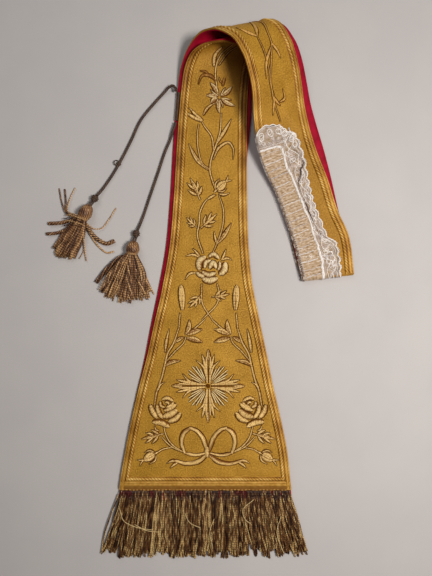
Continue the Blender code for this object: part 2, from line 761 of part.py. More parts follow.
def main():
    clear_scene()
    parts = bpy.data.collections.new("clerical_stole")
    bpy.context.scene.collection.children.link(parts)
    gold = named_material("cloth_of_gold", (0.42, 0.24, 0.05), 0.5, 0.3)
    red = named_material("red_lining", (0.36, 0.01, 0.03), 0.6, 0.0)
    braid = named_material("gold_braid", (0.62, 0.38, 0.12), 0.45, 0.4)
    lace = named_material("lace", (0.75, 0.66, 0.60), 0.8, 0.0)
    add_panels(parts, gold, red)
    add_braids(parts, braid)
    add_lace(parts, lace)
    bullion = named_material("bullion", (0.14, 0.06, 0.02), 0.5, 0.3)
    silk = named_material("brown_silk", (0.10, 0.055, 0.035), 0.7, 0.0)
    thread = named_material("gold_thread", (0.72, 0.50, 0.22), 0.4, 0.5)
    for row in FRINGES:
        add_object(row.name, fringe_mesh(row), bullion, parts)
    add_cords(parts, silk)
    for tassel in TASSELS:
        add_tassel(tassel, parts, silk, bullion)
    add_motifs(parts, thread)


main()
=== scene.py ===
"""The finished look of the clerical stole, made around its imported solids.

Tables and small sizes are in millimetres, and the scene is in metres with Z up. SECTIONS is the
course that both plies follow, as in the part's source. On it, fold 0 is the ply that is outermost
in the curl, fold 1 is the ply inside it, and depth is measured outwards from a ply's inner face.
"""

import json
import math
from collections import namedtuple

import bpy
import numpy as np
from mathutils import Vector
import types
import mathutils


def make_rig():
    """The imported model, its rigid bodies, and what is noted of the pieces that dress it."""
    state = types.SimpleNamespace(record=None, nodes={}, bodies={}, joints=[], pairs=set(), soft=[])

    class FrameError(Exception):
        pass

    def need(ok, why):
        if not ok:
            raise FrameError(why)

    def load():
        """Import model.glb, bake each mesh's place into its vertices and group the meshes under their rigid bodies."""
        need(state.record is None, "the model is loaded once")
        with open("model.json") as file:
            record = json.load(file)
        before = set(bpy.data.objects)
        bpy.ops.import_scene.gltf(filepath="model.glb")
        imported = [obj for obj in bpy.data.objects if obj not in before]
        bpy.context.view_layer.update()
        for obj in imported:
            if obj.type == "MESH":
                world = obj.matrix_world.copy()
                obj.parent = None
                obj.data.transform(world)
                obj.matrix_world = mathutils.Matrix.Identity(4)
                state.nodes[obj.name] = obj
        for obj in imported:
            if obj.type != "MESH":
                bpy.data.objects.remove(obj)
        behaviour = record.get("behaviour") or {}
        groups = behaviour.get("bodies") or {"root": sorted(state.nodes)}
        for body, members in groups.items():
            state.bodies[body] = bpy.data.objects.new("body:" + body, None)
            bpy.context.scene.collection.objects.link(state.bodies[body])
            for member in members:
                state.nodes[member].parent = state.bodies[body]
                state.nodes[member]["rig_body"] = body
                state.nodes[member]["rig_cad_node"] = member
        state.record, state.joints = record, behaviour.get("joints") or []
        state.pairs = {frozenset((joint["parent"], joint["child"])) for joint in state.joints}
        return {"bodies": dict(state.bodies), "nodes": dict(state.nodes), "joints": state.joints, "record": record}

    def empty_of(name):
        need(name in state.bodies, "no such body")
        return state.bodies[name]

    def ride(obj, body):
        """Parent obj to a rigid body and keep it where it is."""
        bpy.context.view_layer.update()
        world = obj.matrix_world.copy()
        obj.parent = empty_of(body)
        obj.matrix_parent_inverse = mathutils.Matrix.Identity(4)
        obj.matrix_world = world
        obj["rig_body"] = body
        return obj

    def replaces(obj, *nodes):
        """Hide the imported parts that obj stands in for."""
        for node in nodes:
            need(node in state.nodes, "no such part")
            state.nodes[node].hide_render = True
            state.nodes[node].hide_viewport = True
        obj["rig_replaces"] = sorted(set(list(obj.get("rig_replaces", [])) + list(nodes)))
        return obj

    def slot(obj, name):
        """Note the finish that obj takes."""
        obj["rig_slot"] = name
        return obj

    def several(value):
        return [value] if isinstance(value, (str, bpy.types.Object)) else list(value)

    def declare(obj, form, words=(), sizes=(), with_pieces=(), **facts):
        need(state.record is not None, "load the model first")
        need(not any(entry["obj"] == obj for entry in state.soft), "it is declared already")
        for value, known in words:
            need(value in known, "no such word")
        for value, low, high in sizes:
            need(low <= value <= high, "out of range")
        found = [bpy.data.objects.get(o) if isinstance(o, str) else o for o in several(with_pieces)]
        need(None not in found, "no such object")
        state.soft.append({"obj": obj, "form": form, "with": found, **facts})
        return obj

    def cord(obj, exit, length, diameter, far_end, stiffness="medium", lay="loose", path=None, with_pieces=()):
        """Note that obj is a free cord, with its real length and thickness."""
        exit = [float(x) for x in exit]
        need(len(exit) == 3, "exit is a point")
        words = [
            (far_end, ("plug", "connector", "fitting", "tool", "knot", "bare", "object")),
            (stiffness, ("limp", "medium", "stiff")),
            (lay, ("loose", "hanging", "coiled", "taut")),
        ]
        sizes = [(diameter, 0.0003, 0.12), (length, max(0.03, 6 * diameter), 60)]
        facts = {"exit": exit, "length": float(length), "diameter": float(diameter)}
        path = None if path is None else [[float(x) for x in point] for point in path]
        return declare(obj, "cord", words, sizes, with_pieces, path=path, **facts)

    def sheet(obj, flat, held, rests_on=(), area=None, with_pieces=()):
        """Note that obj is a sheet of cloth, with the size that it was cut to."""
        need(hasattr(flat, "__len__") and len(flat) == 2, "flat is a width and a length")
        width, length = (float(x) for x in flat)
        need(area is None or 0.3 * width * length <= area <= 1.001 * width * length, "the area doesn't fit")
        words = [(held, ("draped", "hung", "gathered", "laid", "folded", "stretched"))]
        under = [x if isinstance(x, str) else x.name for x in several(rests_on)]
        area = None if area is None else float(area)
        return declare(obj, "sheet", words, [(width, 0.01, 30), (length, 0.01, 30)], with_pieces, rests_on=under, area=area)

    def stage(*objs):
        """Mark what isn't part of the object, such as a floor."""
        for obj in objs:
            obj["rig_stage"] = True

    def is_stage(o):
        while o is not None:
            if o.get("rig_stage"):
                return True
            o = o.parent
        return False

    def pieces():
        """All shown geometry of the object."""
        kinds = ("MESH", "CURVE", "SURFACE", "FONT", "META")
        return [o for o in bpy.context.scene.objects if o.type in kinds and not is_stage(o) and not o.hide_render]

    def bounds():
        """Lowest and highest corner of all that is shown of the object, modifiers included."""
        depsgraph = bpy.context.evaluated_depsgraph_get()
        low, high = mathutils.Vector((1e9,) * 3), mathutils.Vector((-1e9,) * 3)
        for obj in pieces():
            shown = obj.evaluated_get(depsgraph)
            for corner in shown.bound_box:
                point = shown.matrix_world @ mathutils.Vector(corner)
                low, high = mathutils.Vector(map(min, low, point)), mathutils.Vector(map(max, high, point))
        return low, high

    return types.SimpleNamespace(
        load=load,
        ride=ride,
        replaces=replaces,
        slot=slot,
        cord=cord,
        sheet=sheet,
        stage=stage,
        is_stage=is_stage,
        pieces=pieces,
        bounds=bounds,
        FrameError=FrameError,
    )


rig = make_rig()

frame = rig.load()
CAD_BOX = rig.bounds()


def table(columns, *rows):
    """A short table, from the names of its columns and its rows."""
    row = namedtuple("Row", columns)
    return [row(*values) for values in rows]


def column(rows, name):
    return np.array([getattr(row, name) for row in rows], float)


MM = 0.001
PLACE = np.array((-1.6, 13.3, 0.0))  # brings the middle of the footprint to the origin
UP = np.array((0.0, 0.0, 1.0))

# The camera stands straight above the stole.
CAMERA_PLACE = (-19.0, 10.4, 628.0)
CAMERA_LENS = 27.06
CAMERA_SENSOR = 36.0

# Depths, as in the part's source.
LINING = (0.0, 1.0)
CLOTH = (1.3, 2.8)
CLOTH_TOP = CLOTH[1]
CLEAR = 0.3  # between pieces that lie on each other
UPPER_HEM = 16.0
LINING_INSET = 0.7
BRAID_INSET = 8.0
BRAID_WIDTH = 5.0
HEM_BRAID_INSET = 13.5
CORD_DIAMETER = 4.0

SECTIONS = table(
    "x y z turn bank width gap_left gap_right shift",
    (-33.0, -309.0, 2.95, 0, 0, 251, 0.3, 0.3, 0.0),
    (-33.0, -293.0, 2.95, 0, 0, 248, 0.3, 0.3, 0.0),
    (-31.7, -229.0, 2.95, 0, 0, 230, 0.3, 0.3, 0.5),
    (-32.0, -185.0, 2.95, 0, 0, 212, 0.3, 0.3, 1.0),
    (-32.5, -142.0, 2.95, 0, 0, 192, 0.3, 0.3, 2.0),
    (-32.0, -103.0, 2.95, 0, 0, 174, 0.3, 0.3, 3.5),
    (-32.5, -52.0, 2.95, 0, 0, 152, 0.3, 0.3, 5.0),
    (-32.5, -6.0, 2.95, 0, 0, 132, 0.3, 0.3, 6.0),
    (-30.5, 52.0, 2.95, 0, 0, 115, 0.3, 0.3, 6.0),
    (-28.5, 123.0, 2.95, 0, 0, 106, 0.3, 0.3, 6.0),
    (-26.5, 200.0, 2.95, 0, 0, 101, 0.3, 0.3, 6.0),
    (-24.5, 250.0, 2.95, 0, 0, 98, 0.3, 0.3, 6.0),
    (-22.0, 283.0, 5.0, 0, -1, 96, 1.5, 0.8, 6.0),
    (-17.0, 314.0, 9.5, 1, -6, 94, 5.0, 1.0, 6.0),
    (-8.0, 335.5, 17.5, 8, -12, 92, 9.0, 1.5, 6.0),
    (5.0, 347.5, 28.0, 16, -17, 90, 12.0, 2.0, 6.0),
    (21.0, 351.0, 37.5, 25, -20, 90, 12.0, 2.0, 7.0),
    (38.0, 343.5, 43.5, 29, -22, 88, 10.0, 2.0, 8.5),
    (54.0, 322.5, 44.0, 29, -23, 86.5, 7.0, 1.5, 11.0),
    (64.5, 297.5, 39.0, 28, -23, 86, 4.0, 1.0, 12.5),
    (71.0, 272.0, 31.5, 25, -22, 85, 2.5, 0.8, 13.0),
    (75.5, 246.5, 23.5, 21, -18, 83.5, 1.0, 0.6, 13.5),
    (83.5, 215.5, 15.0, 18, -11, 82, 0.5, 0.5, 14.0),
    (95.4, 180.6, 8.5, 18, -4, 79.5, 0.4, 0.4, 12.0),
    (108.8, 145.7, 5.6, 18, -1, 76, 0.4, 0.4, 7.0),
    (122.2, 100.3, 4.9, 17, 0, 74, 0.4, 0.4, 2.5),
    (134.5, 60.0, 4.9, 14, 0, 78, 0.4, 0.4, -3.0),
    (143.5, 15.0, 5.15, 6, 0, 73, 1.0, 1.0, -1.0),
)
FLAT_SECTIONS = 14  # up to here each section lies further up the left-hand arm than the last
COURSE_STEP = 1.0

# The cord's routes, as in the part's source: x, y and z of its middle line.
HELD_ENDS = (547.0, 587.0)
CORD_UPPER = (
    (-74.9, 279.0, 8.0),
    (-75.8, 283.6, 8.0),
    (-79.5, 287.0, 7.6),
    (-84.5, 286.0, 5.4),
    (-91.0, 280.5, 3.0),
    (-108.5, 261.7, 2.4),
    (-125.8, 240.0, 2.4),
    (-140.3, 209.6, 2.4),
    (-155.5, 180.0, 2.4),
    (-171.5, 153.5, 2.5),
    (-183.5, 136.5, 3.6),
    (-188.3, 130.3, 5.4),
)
CORD_LOWER = (
    (-75.6, 235.0, 5.4),
    (-77.2, 229.0, 5.4),
    (-79.9, 221.5, 4.9),
    (-83.6, 211.0, 3.0),
    (-89.7, 197.2, 2.4),
    (-101.2, 163.3, 2.4),
    (-113.4, 127.7, 2.4),
    (-123.5, 98.0, 2.6),
    (-128.4, 84.6, 4.4),
    (-130.0, 80.6, 5.4),
)
TASSELS = table(
    "name x y heading head length fan",
    ("upper", -191.6, 125.8, 240.0, 29.0, 61.0, 17.0),
    ("lower", -132.0, 75.2, 259.0, 25.0, 67.0, 34.0),
)
KNOB_RADIUS = 5.6


# ---------------------------------------------------------------- curves and the cloth's course


def unit(vectors):
    return vectors / np.linalg.norm(vectors, axis=-1, keepdims=True)


def distances(points):
    """How far along its line each point lies."""
    steps = np.linalg.norm(np.diff(points, axis=0), axis=1)
    return np.concatenate([[0.0], np.cumsum(steps)])


def on_curve(stops, values, slopes, along):
    """Values at distances along stops, on the smooth curve that has these slopes."""
    low = np.clip(np.searchsorted(stops, along, side="right") - 1, 0, len(stops) - 2)
    span = stops[low + 1] - stops[low]
    t = (along - stops[low]) / span
    if values.ndim > 1:
        span, t = span[:, None], t[:, None]
    rise = t * t * (3 - 2 * t)
    start = slopes[low] * t * (1 - t) ** 2
    finish = slopes[low + 1] * t * t * (1 - t)
    return values[low] * (1 - rise) + values[low + 1] * rise + span * (start - finish)


def without_overshoot(stops, values, along):
    """Values at distances along stops, on one smooth curve that is level at each peak."""
    slopes = np.gradient(values, stops)
    steps = np.diff(values)
    slopes[1:-1][steps[:-1] * steps[1:] <= 0] = 0.0
    return on_curve(stops, values, slopes, along)


def smooth_line(points, count):
    """Evenly spaced points on one smooth curve through a few."""
    points = np.array(points, float)
    stops = distances(points)
    at = np.linspace(0, stops[-1], count)
    if len(points) < 3:
        return np.stack([np.interp(at, stops, values) for values in points.T], axis=1)
    return on_curve(stops, points, np.gradient(points, stops, axis=0), at)


STOPS = distances(np.stack([column(SECTIONS, name) for name in "xyz"], axis=1))
NECK = float(STOPS[-1])
FINE = np.linspace(0.0, NECK, int(NECK / COURSE_STEP) + 1)
COURSE = {
    name: without_overshoot(STOPS, column(SECTIONS, name), FINE) for name in SECTIONS[0]._fields
}


def course_frames():
    """The strip's middle and its three directions at each fine step."""
    middle = np.stack([COURSE["x"], COURSE["y"], COURSE["z"]], axis=1)
    turn, bank = np.radians(COURSE["turn"]), np.radians(COURSE["bank"])
    level = np.cos(bank)
    across = np.stack([np.cos(turn) * level, np.sin(turn) * level, np.sin(bank)], axis=1)
    inward = unit(np.cross(across, np.gradient(middle, axis=0)))
    return middle, across, inward, np.cross(inward, across)


MIDDLE, ACROSS, INWARD, AHEAD = course_frames()


def half_width(along):
    return np.interp(along, FINE, COURSE["width"]) / 2


def surface(along, fold, lateral, depth):
    """Points of a ply, in metres. lateral runs to the right from the ply's own middle line."""
    along, fold, lateral, depth = np.broadcast_arrays(along, fold, lateral, depth)
    spot = np.clip(along, 0.0, NECK) / NECK * (len(FINE) - 1)
    low = np.minimum(spot.astype(int), len(FINE) - 2)
    part = spot - low

    def here(values):
        share = part[..., None] if values.ndim > 1 else part
        return values[low] * (1 - share) + values[low + 1] * share

    angle = math.pi * fold
    sideways = lateral - np.cos(angle) * here(COURSE["shift"]) / 2
    sine, cosine = np.sin(angle)[..., None], np.cos(angle)[..., None]
    outwards = sine * here(AHEAD) - cosine * here(INWARD)
    share = (1 + lateral / (here(COURSE["width"]) / 2)) / 2
    gap = here(COURSE["gap_left"]) * (1 - share) + here(COURSE["gap_right"]) * share
    reach = (gap / 2 + depth)[..., None]
    return (here(MIDDLE) + sideways[..., None] * here(ACROSS) + reach * outwards + PLACE) * MM


# ---------------------------------------------------------------- the cloth's unevenness

RIPPLES = np.random.default_rng(7).uniform(-1, 1, (9, 4))
RIPPLE_HEIGHT = 0.055
WIDEST_RIPPLE = 0.10  # its wave number, and how much each next one's is more
NEXT_RIPPLE = 0.05
CREASE_BOW = 0.0025
CREASES = table(
    "fold along lateral heading length width depth",
    (0, 742.0, 22.0, 20.0, 46.0, 9.0, -1.1),
    (0, 786.0, 12.0, 70.0, 60.0, 8.0, -0.8),
    (0, 838.0, 20.0, 60.0, 70.0, 10.0, 0.9),
    (0, 700.0, -18.0, 100.0, 50.0, 9.0, -0.7),
    (0, 905.0, 30.0, 86.0, 80.0, 7.0, 0.7),
    (1, 540.0, -28.0, 70.0, 60.0, 10.0, -0.8),
    (1, 480.0, 30.0, 92.0, 90.0, 8.0, 0.6),
    (1, 392.0, -36.0, 84.0, 80.0, 9.0, 0.6),
    (1, 300.0, 8.0, 20.0, 60.0, 10.0, -0.5),
    (1, 236.0, -62.0, 66.0, 90.0, 10.0, 0.6),
    (1, 150.0, 74.0, 112.0, 90.0, 12.0, 0.7),
    (1, 74.0, -20.0, 8.0, 90.0, 12.0, -0.6),
    (1, 40.0, 84.0, 20.0, 60.0, 10.0, 0.6),
)
SHOWS_FROM = {0: 600.0, 1: 0.0}  # a ply's gold side shows from here up the course
SHOWS_TO = {0: 1060.0, 1: 780.0}
FADE = 40.0


def relief(along, fold, lateral):
    """How far the gold side stands out here from its plain surface, in millimetres."""
    along, fold, lateral = np.broadcast_arrays(along, fold, lateral)
    found = np.zeros(along.shape)
    for number, (a, b, c, d) in enumerate(RIPPLES):
        wave = WIDEST_RIPPLE + NEXT_RIPPLE * number
        phase = wave * (a * along + b * lateral) + 9 * c + fold * d * 5
        found = found + RIPPLE_HEIGHT * np.sin(phase)
    for crease in CREASES:
        heading = math.radians(crease.heading)
        dx, dy = lateral - crease.lateral, along - crease.along
        ahead = dx * math.cos(heading) + dy * math.sin(heading)
        aside = dy * math.cos(heading) - dx * math.sin(heading) + CREASE_BOW * ahead**2
        bump = np.exp(-((2 * ahead / crease.length) ** 2) - (2 * aside / crease.width) ** 2)
        found = found + np.where(np.round(fold) == crease.fold, crease.depth * bump, 0.0)
    for side, start in SHOWS_FROM.items():
        shown = np.clip((along - start) / FADE, 0, 1) if start else np.ones(along.shape)
        shown = shown * np.clip((SHOWS_TO[side] - along) / FADE, 0, 1)
        found = np.where(np.round(fold) == side, found * shown, found)
    return found


def on_cloth(along, fold, lateral, height):
    """Points at a height over the gold side."""
    return surface(along, fold, lateral, CLOTH_TOP + relief(along, fold, lateral) + height)


ARM_Y = COURSE["y"][: int(np.searchsorted(FINE, STOPS[FLAT_SECTIONS - 1]))]


def on_arm(flat, height):
    """Points over the left-hand arm's top, from x and y on it."""
    along = np.interp(flat[..., 1], ARM_Y, FINE[: len(ARM_Y)])
    shift = np.interp(along, FINE, COURSE["shift"])
    lateral = flat[..., 0] - np.interp(along, FINE, COURSE["x"]) - shift / 2
    return on_cloth(along, 1.0, lateral, height)


def on_inner_curl(flat, height):
    """Points over the upper ply inside the curl, from lateral and along."""
    return on_cloth(flat[..., 1], 1.0, flat[..., 0], height)


def on_neck_half(flat, height):
    """Points over the outer curl and the right-hand arm, from lateral and along."""
    return on_cloth(flat[..., 1], 0.0, flat[..., 0], height)


# ---------------------------------------------------------------- meshes


class Form:
    """Points and faces gathered for one piece, with texture places in millimetres."""

    def __init__(self):
        self.points, self.shades = [], []
        self.faces, self.places, self.slots = [], [], []
        self.count = 0

    def add_points(self, points, shade):
        points = points.reshape(-1, 3)
        first = self.count
        self.points.append(points)
        self.shades.append(np.broadcast_to(np.asarray(shade, float).ravel(), len(points)))
        self.count += len(points)
        return first

    def add_grid(self, points, u, v, slot=0, shade=0.0, wrap=False):
        """Quads between rows of points. With wrap, the last column joins the first."""
        rows, columns = points.shape[:2]
        index = self.add_points(points, shade) + np.arange(rows * columns).reshape(rows, columns)
        if wrap:
            index = np.concatenate([index, index[:, :1]], axis=1)
        u, v = np.broadcast_to(u, index.shape), np.broadcast_to(v, index.shape)

        def corners(values):
            quads = (values[:-1, :-1], values[:-1, 1:], values[1:, 1:], values[1:, :-1])
            return np.stack(quads, axis=-1).reshape(-1, 4)

        self.faces += corners(index).tolist()
        self.places.append(np.stack([corners(u), corners(v)], axis=-1).reshape(-1, 2))
        self.slots += [slot] * (len(index) - 1) * (index.shape[1] - 1)
        return index

    def add_closed(self, points, u, v, slot=0, shade=0.0):
        """A wrapped grid with both of its ends filled."""
        index = self.add_grid(points, u, v, slot, shade, wrap=True)
        for end in (index[0, :-1][::-1], index[-1, :-1]):
            self.faces.append(end.tolist())
            self.places.append(np.zeros((len(end), 2)))
            self.slots.append(slot)

    def piece(self, name, materials, slot, replaces=()):
        """The finished object, riding on the stole."""
        mesh = bpy.data.meshes.new(name)
        mesh.from_pydata(np.concatenate(self.points).tolist(), [], self.faces)
        mesh.uv_layers.new(name="UVMap").data.foreach_set("uv", np.concatenate(self.places).ravel())
        shade = mesh.attributes.new("shade", "FLOAT", "POINT")
        shade.data.foreach_set("value", np.concatenate(self.shades))
        for material in materials:
            mesh.materials.append(material)
        mesh.polygons.foreach_set("material_index", self.slots)
        mesh.shade_smooth()
        found = bpy.data.objects.new(name, mesh)
        bpy.context.scene.collection.objects.link(found)
        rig.ride(found, "root")
        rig.slot(found, slot)
        if replaces:
            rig.replaces(found, *replaces)
        return found


LOBE_DEPTH = 0.2
LOBE_PAINTED_SHADE = 0.35
TUBE_SPACING = 0.37  # sets each tube's texture apart from the last one's


def add_tube(form, path, radii, sides=5, slot=0, shade=0.0, up=UP, lobes=0, pitch=1.0):
    """A closed tube along points in metres. With lobes, its section turns once in each pitch."""
    path = np.asarray(path, float)
    ahead = unit(np.gradient(path, axis=0))
    side = unit(np.cross(ahead, np.asarray(up, float)))
    top = np.cross(side, ahead)
    along = distances(path) / MM
    angle = math.tau * np.arange(sides) / sides
    radii = np.broadcast_to(radii, len(path))[:, None] * np.ones(sides)
    if lobes:
        proud = np.cos(lobes * (angle - math.tau * along[:, None] / pitch))
        radii = radii * (1 - LOBE_DEPTH * (1 - proud) / 2)
        # the lobes' crests are painted paler and their valleys darker: painted highlight and shade
        shade = shade + LOBE_PAINTED_SHADE * (proud - 0.4) / 2
    spokes = side[:, None] * np.cos(angle)[:, None] + top[:, None] * np.sin(angle)[:, None]
    points = path[:, None] + spokes * (radii * MM)[..., None]
    around = np.linspace(0, 1, sides + 1) * math.tau * float(np.mean(radii))
    own_place = form.count * TUBE_SPACING
    form.add_closed(points, along[:, None] + own_place, around[None] + own_place, slot, shade)


# ---------------------------------------------------------------- materials


def tint(red, green, blue):
    """A display colour, 0 to 255, as the linear one that shaders take."""
    values = np.array((red, green, blue)) / 255
    linear = np.where(values <= 0.04045, values / 12.92, ((values + 0.055) / 1.055) ** 2.4)
    return (*(float(value) for value in linear), 1.0)


class Shader:
    """A material under construction: its nodes are added one by one, each linked to earlier ones."""

    def __init__(self, name, roughness, metallic=0.0, sheen=0.0, sheen_tint=None, specular=0.5):
        self.material = bpy.data.materials.new(name)
        self.material.use_nodes = True
        self.tree = self.material.node_tree
        self.surface = self.tree.nodes["Principled BSDF"]
        self.normal = None
        numbers = {"Roughness": roughness, "Metallic": metallic, "Specular IOR Level": specular}
        if sheen:
            numbers.update({"Sheen Weight": sheen, "Sheen Roughness": 0.4, "Sheen Tint": sheen_tint})
        for name, value in numbers.items():
            self.surface.inputs[name].default_value = value

    def node(self, kind, links=(), **settings):
        made = self.tree.nodes.new("ShaderNode" + kind)
        for name, value in settings.items():
            if hasattr(made, name):
                setattr(made, name, value)
            else:
                made.inputs[name.replace("_", " ")].default_value = value
        for name, socket in links:
            self.tree.links.new(socket, made.inputs[name])
        return made

    def feed(self, socket, value):
        """Links the socket where value is an output of another node, and otherwise sets it."""
        if isinstance(value, bpy.types.NodeSocket):
            self.tree.links.new(value, socket)
        else:
            socket.default_value = value

    def places(self, across=1.0, along=1.0, turn=0.0):
        """Texture places in millimetres, times a scale each way."""
        coordinates = self.node("UVMap")
        mapping = self.node("Mapping", [("Vector", coordinates.outputs["UV"])])
        mapping.inputs["Scale"].default_value = (across, along, 1.0)
        mapping.inputs["Rotation"].default_value = (0.0, 0.0, math.radians(turn))
        return mapping.outputs["Vector"]

    def solid_places(self):
        """Places in the object's own space, in millimetres."""
        coordinates = self.node("TexCoord")
        mapping = self.node("Mapping", [("Vector", coordinates.outputs["Object"])])
        mapping.inputs["Scale"].default_value = (1 / MM, 1 / MM, 1 / MM)
        return mapping.outputs["Vector"]

    def noise(self, places, scale, detail=3.0):
        return self.node("TexNoise", [("Vector", places)], Scale=scale, Detail=detail).outputs["Fac"]

    def wave(self, places, scale, distortion=0.0, direction="X"):
        made = self.node("TexWave", [("Vector", places)], Scale=scale, Distortion=distortion)
        made.bands_direction = direction
        return made.outputs["Fac"]

    def ramp(self, factor, *stops):
        made = self.node("ValToRGB", [("Fac", factor)])
        elements = made.color_ramp.elements
        while len(elements) < len(stops):
            elements.new(0.5)
        for element, (position, colour) in zip(elements, stops):
            element.position = position
            element.color = colour
        return made.outputs["Color"]

    def greys(self, factor, *stops):
        """A ramp whose colours are greys, each given as one number."""
        return self.ramp(factor, *((position, (grey, grey, grey, 1)) for position, grey in stops))

    def mix(self, factor, first, second):
        made = self.node("Mix", data_type="RGBA")
        sockets = {socket.identifier: socket for socket in (*made.inputs, *made.outputs)}
        for name, value in (("Factor_Float", factor), ("A_Color", first), ("B_Color", second)):
            self.feed(sockets[name], value)
        return sockets["Result_Color"]

    def dyed(self, colour, dye, factor, *stops):
        """The colour with a dye over it, as strong at each value of a factor as the stops say."""
        return self.mix(self.greys(factor, *stops), colour, dye)

    def arithmetic(self, operation, first, second):
        made = self.node("Math", operation=operation)
        for socket, value in zip(made.inputs, (first, second)):
            self.feed(socket, value)
        return made.outputs["Value"]

    def shade(self, strength=None):
        """The mesh's own light and dark, which holds random tone, wear and painted shade and highlight, times a
        strength if there is one.
        """
        found = self.node("Attribute", attribute_name="shade").outputs["Fac"]
        return found if strength is None else self.arithmetic("MULTIPLY", found, strength)

    def bump(self, height, strength, distance):
        made = self.node("Bump", [("Height", height)], Strength=strength, Distance=distance * MM)
        if self.normal is not None:
            self.tree.links.new(self.normal, made.inputs["Normal"])
        self.normal = made.outputs["Normal"]

    def done(self, colour, roughness=None):
        ends = {"Base Color": colour, "Roughness": roughness, "Normal": self.normal}
        for name, value in ends.items():
            if value is not None:
                self.tree.links.new(value, self.surface.inputs[name])
        return self.material


def gold_cloth():
    """Old cloth of gold: fine ribs across, duller and browner in patches and along its edges."""
    made = Shader("cloth_of_gold", 0.6, 0.15, 0.06, tint(255, 200, 110), specular=0.25)
    ribs = made.wave(made.places(0.15, 1.0), 0.34, 1.2, "Y")
    threads = made.wave(made.places(), 0.5, 0.8, "X")
    patches = made.noise(made.places(), 0.03, 4.0)
    flecks = made.noise(made.places(), 0.6, 6.0)
    golds = (0.30, tint(168, 121, 30)), (0.52, tint(188, 138, 42)), (0.74, tint(206, 153, 52))
    colour = made.ramp(patches, *golds)
    colour = made.dyed(colour, tint(232, 180, 74), flecks, (0.50, 0.0), (0.68, 0.6))
    colour = made.dyed(colour, tint(128, 86, 16), flecks, (0.34, 0.6), (0.49, 0.0))
    colour = made.dyed(colour, tint(134, 88, 20), ribs, (0.0, 0.3), (0.6, 0.0))
    # the shade attribute browns the worn edges and paints shade inside the curl and on the right-hand arm
    colour = made.mix(made.shade(0.6), colour, tint(136, 87, 20))
    made.bump(ribs, 0.3, 0.25)
    made.bump(threads, 0.2, 0.15)
    made.bump(patches, 0.3, 1.2)
    return made.done(colour, made.greys(flecks, (0.2, 0.7), (0.8, 0.46)))


def red_silk():
    made = Shader("red_lining", 0.6, 0.0, 0.05, tint(255, 90, 100), specular=0.2)
    places = made.places()
    ribs = made.wave(places, 1.1, 0.6, "Y")
    wear_and_painted_shade = made.noise(places, 0.09, 4.0)
    colour = made.ramp(wear_and_painted_shade, (0.3, tint(150, 2, 34)), (0.7, tint(188, 10, 50)))
    colour = made.dyed(colour, tint(96, 4, 18), ribs, (0.0, 0.25), (0.7, 0.0))
    made.bump(ribs, 0.3, 0.15)
    made.bump(wear_and_painted_shade, 0.4, 1.0)
    return made.done(colour)


def galloon_gold():
    """The flat woven gold edging: fine ribs that run out to the edge, over a lighter warp."""
    made = Shader("galloon", 0.5, 0.25, 0.1, tint(255, 200, 110))
    ribs = made.wave(made.places(0.1, 1.0), 0.24, 1.2, "Y")
    wear_and_painted_shade = made.noise(made.places(0.5, 0.35), 0.5, 4.0)
    golds = (0.3, tint(178, 124, 34)), (0.5, tint(200, 148, 54)), (0.7, tint(224, 176, 82))
    colour = made.ramp(wear_and_painted_shade, *golds)
    colour = made.dyed(colour, tint(150, 96, 26), ribs, (0.1, 0.5), (0.6, 0.0))
    # the shade attribute paints the fringe heading darker: painted shade
    colour = made.mix(made.shade(1.0), colour, tint(128, 80, 22))
    made.bump(ribs, 0.5, 0.3)
    return made.done(colour)


def braid_gold():
    """Gilt braid: each bead is painted pale where it stands proud and darker between beads, painted highlight and
    shade, with brown thread showing between.
    """
    made = Shader("gilt_braid", 0.45, 0.2, specular=0.25)
    wear_and_painted_shade = made.arithmetic("MULTIPLY", made.noise(made.places(), 0.35, 4.0), 0.5)
    tone = made.arithmetic("ADD", wear_and_painted_shade, made.shade())
    browns = (0.15, tint(104, 60, 10)), (0.48, tint(170, 116, 36))
    golds = (0.78, tint(210, 160, 70)), (1.0, tint(250, 212, 130))
    made.bump(made.wave(made.places(turn=40), 0.5, 0.6), 0.4, 0.2)
    return made.done(made.ramp(tone, *browns, *golds))


def satin_thread(name, light, dark, metallic):
    """Thread laid side by side across each motif, so that fine lines run across it."""
    made = Shader(name, 0.4, metallic, specular=0.25)
    threads = made.wave(made.places(), 0.55, 0.7)
    tone = made.arithmetic("ADD", made.noise(made.places(0.8, 0.2), 0.6, 3.0), made.shade())
    colour = made.ramp(tone, (0.28, dark), (0.66, light))
    streaks = made.noise(made.places(1.0, 0.12), 0.5, 3.0)
    colour = made.dyed(colour, dark, streaks, (0.36, 0.55), (0.48, 0.0))
    colour = made.dyed(colour, dark, threads, (0.0, 0.45), (0.5, 0.0))
    made.bump(threads, 0.55, 0.25)
    return made.done(colour)


WAVE_PERIOD = 0.314  # the spacing of a wave texture's bands at a scale of 1


def twisted_thread(name, light, dark, roughness, metallic, pitch, sheen=0.0, middle=None, gloss=0.5):
    """A plied cord: slanting lines, lighter and darker by strand."""
    made = Shader(name, roughness, metallic, sheen, light, specular=gloss)
    plies = made.wave(made.places(turn=45), WAVE_PERIOD / pitch, 0.5)
    tone = made.arithmetic("ADD", made.noise(made.places(0.25, 0.25), 0.5, 2.0), made.shade())
    stops = [(0.25, dark), (0.55, middle)] if middle else [(0.32, dark)]
    colour = made.ramp(tone, *stops, (0.85, light))
    colour = made.dyed(colour, dark, plies, (0.05, 0.7), (0.6, 0.0))
    made.bump(plies, 0.6, 0.3)
    return made.done(colour)


def lace_cotton():
    made = Shader("lace", 0.85, 0.0, 0.1, tint(255, 250, 245))
    tone = made.arithmetic("ADD", made.noise(made.places(), 0.3, 3.0), made.shade())
    darks = (0.0, tint(70, 54, 54)), (0.3, tint(146, 126, 116))
    pales = (0.6, tint(214, 198, 188)), (0.95, tint(252, 246, 240))
    made.bump(made.noise(made.places(), 2.0, 2.0), 0.4, 0.2)
    return made.done(made.ramp(tone, *darks, *pales))


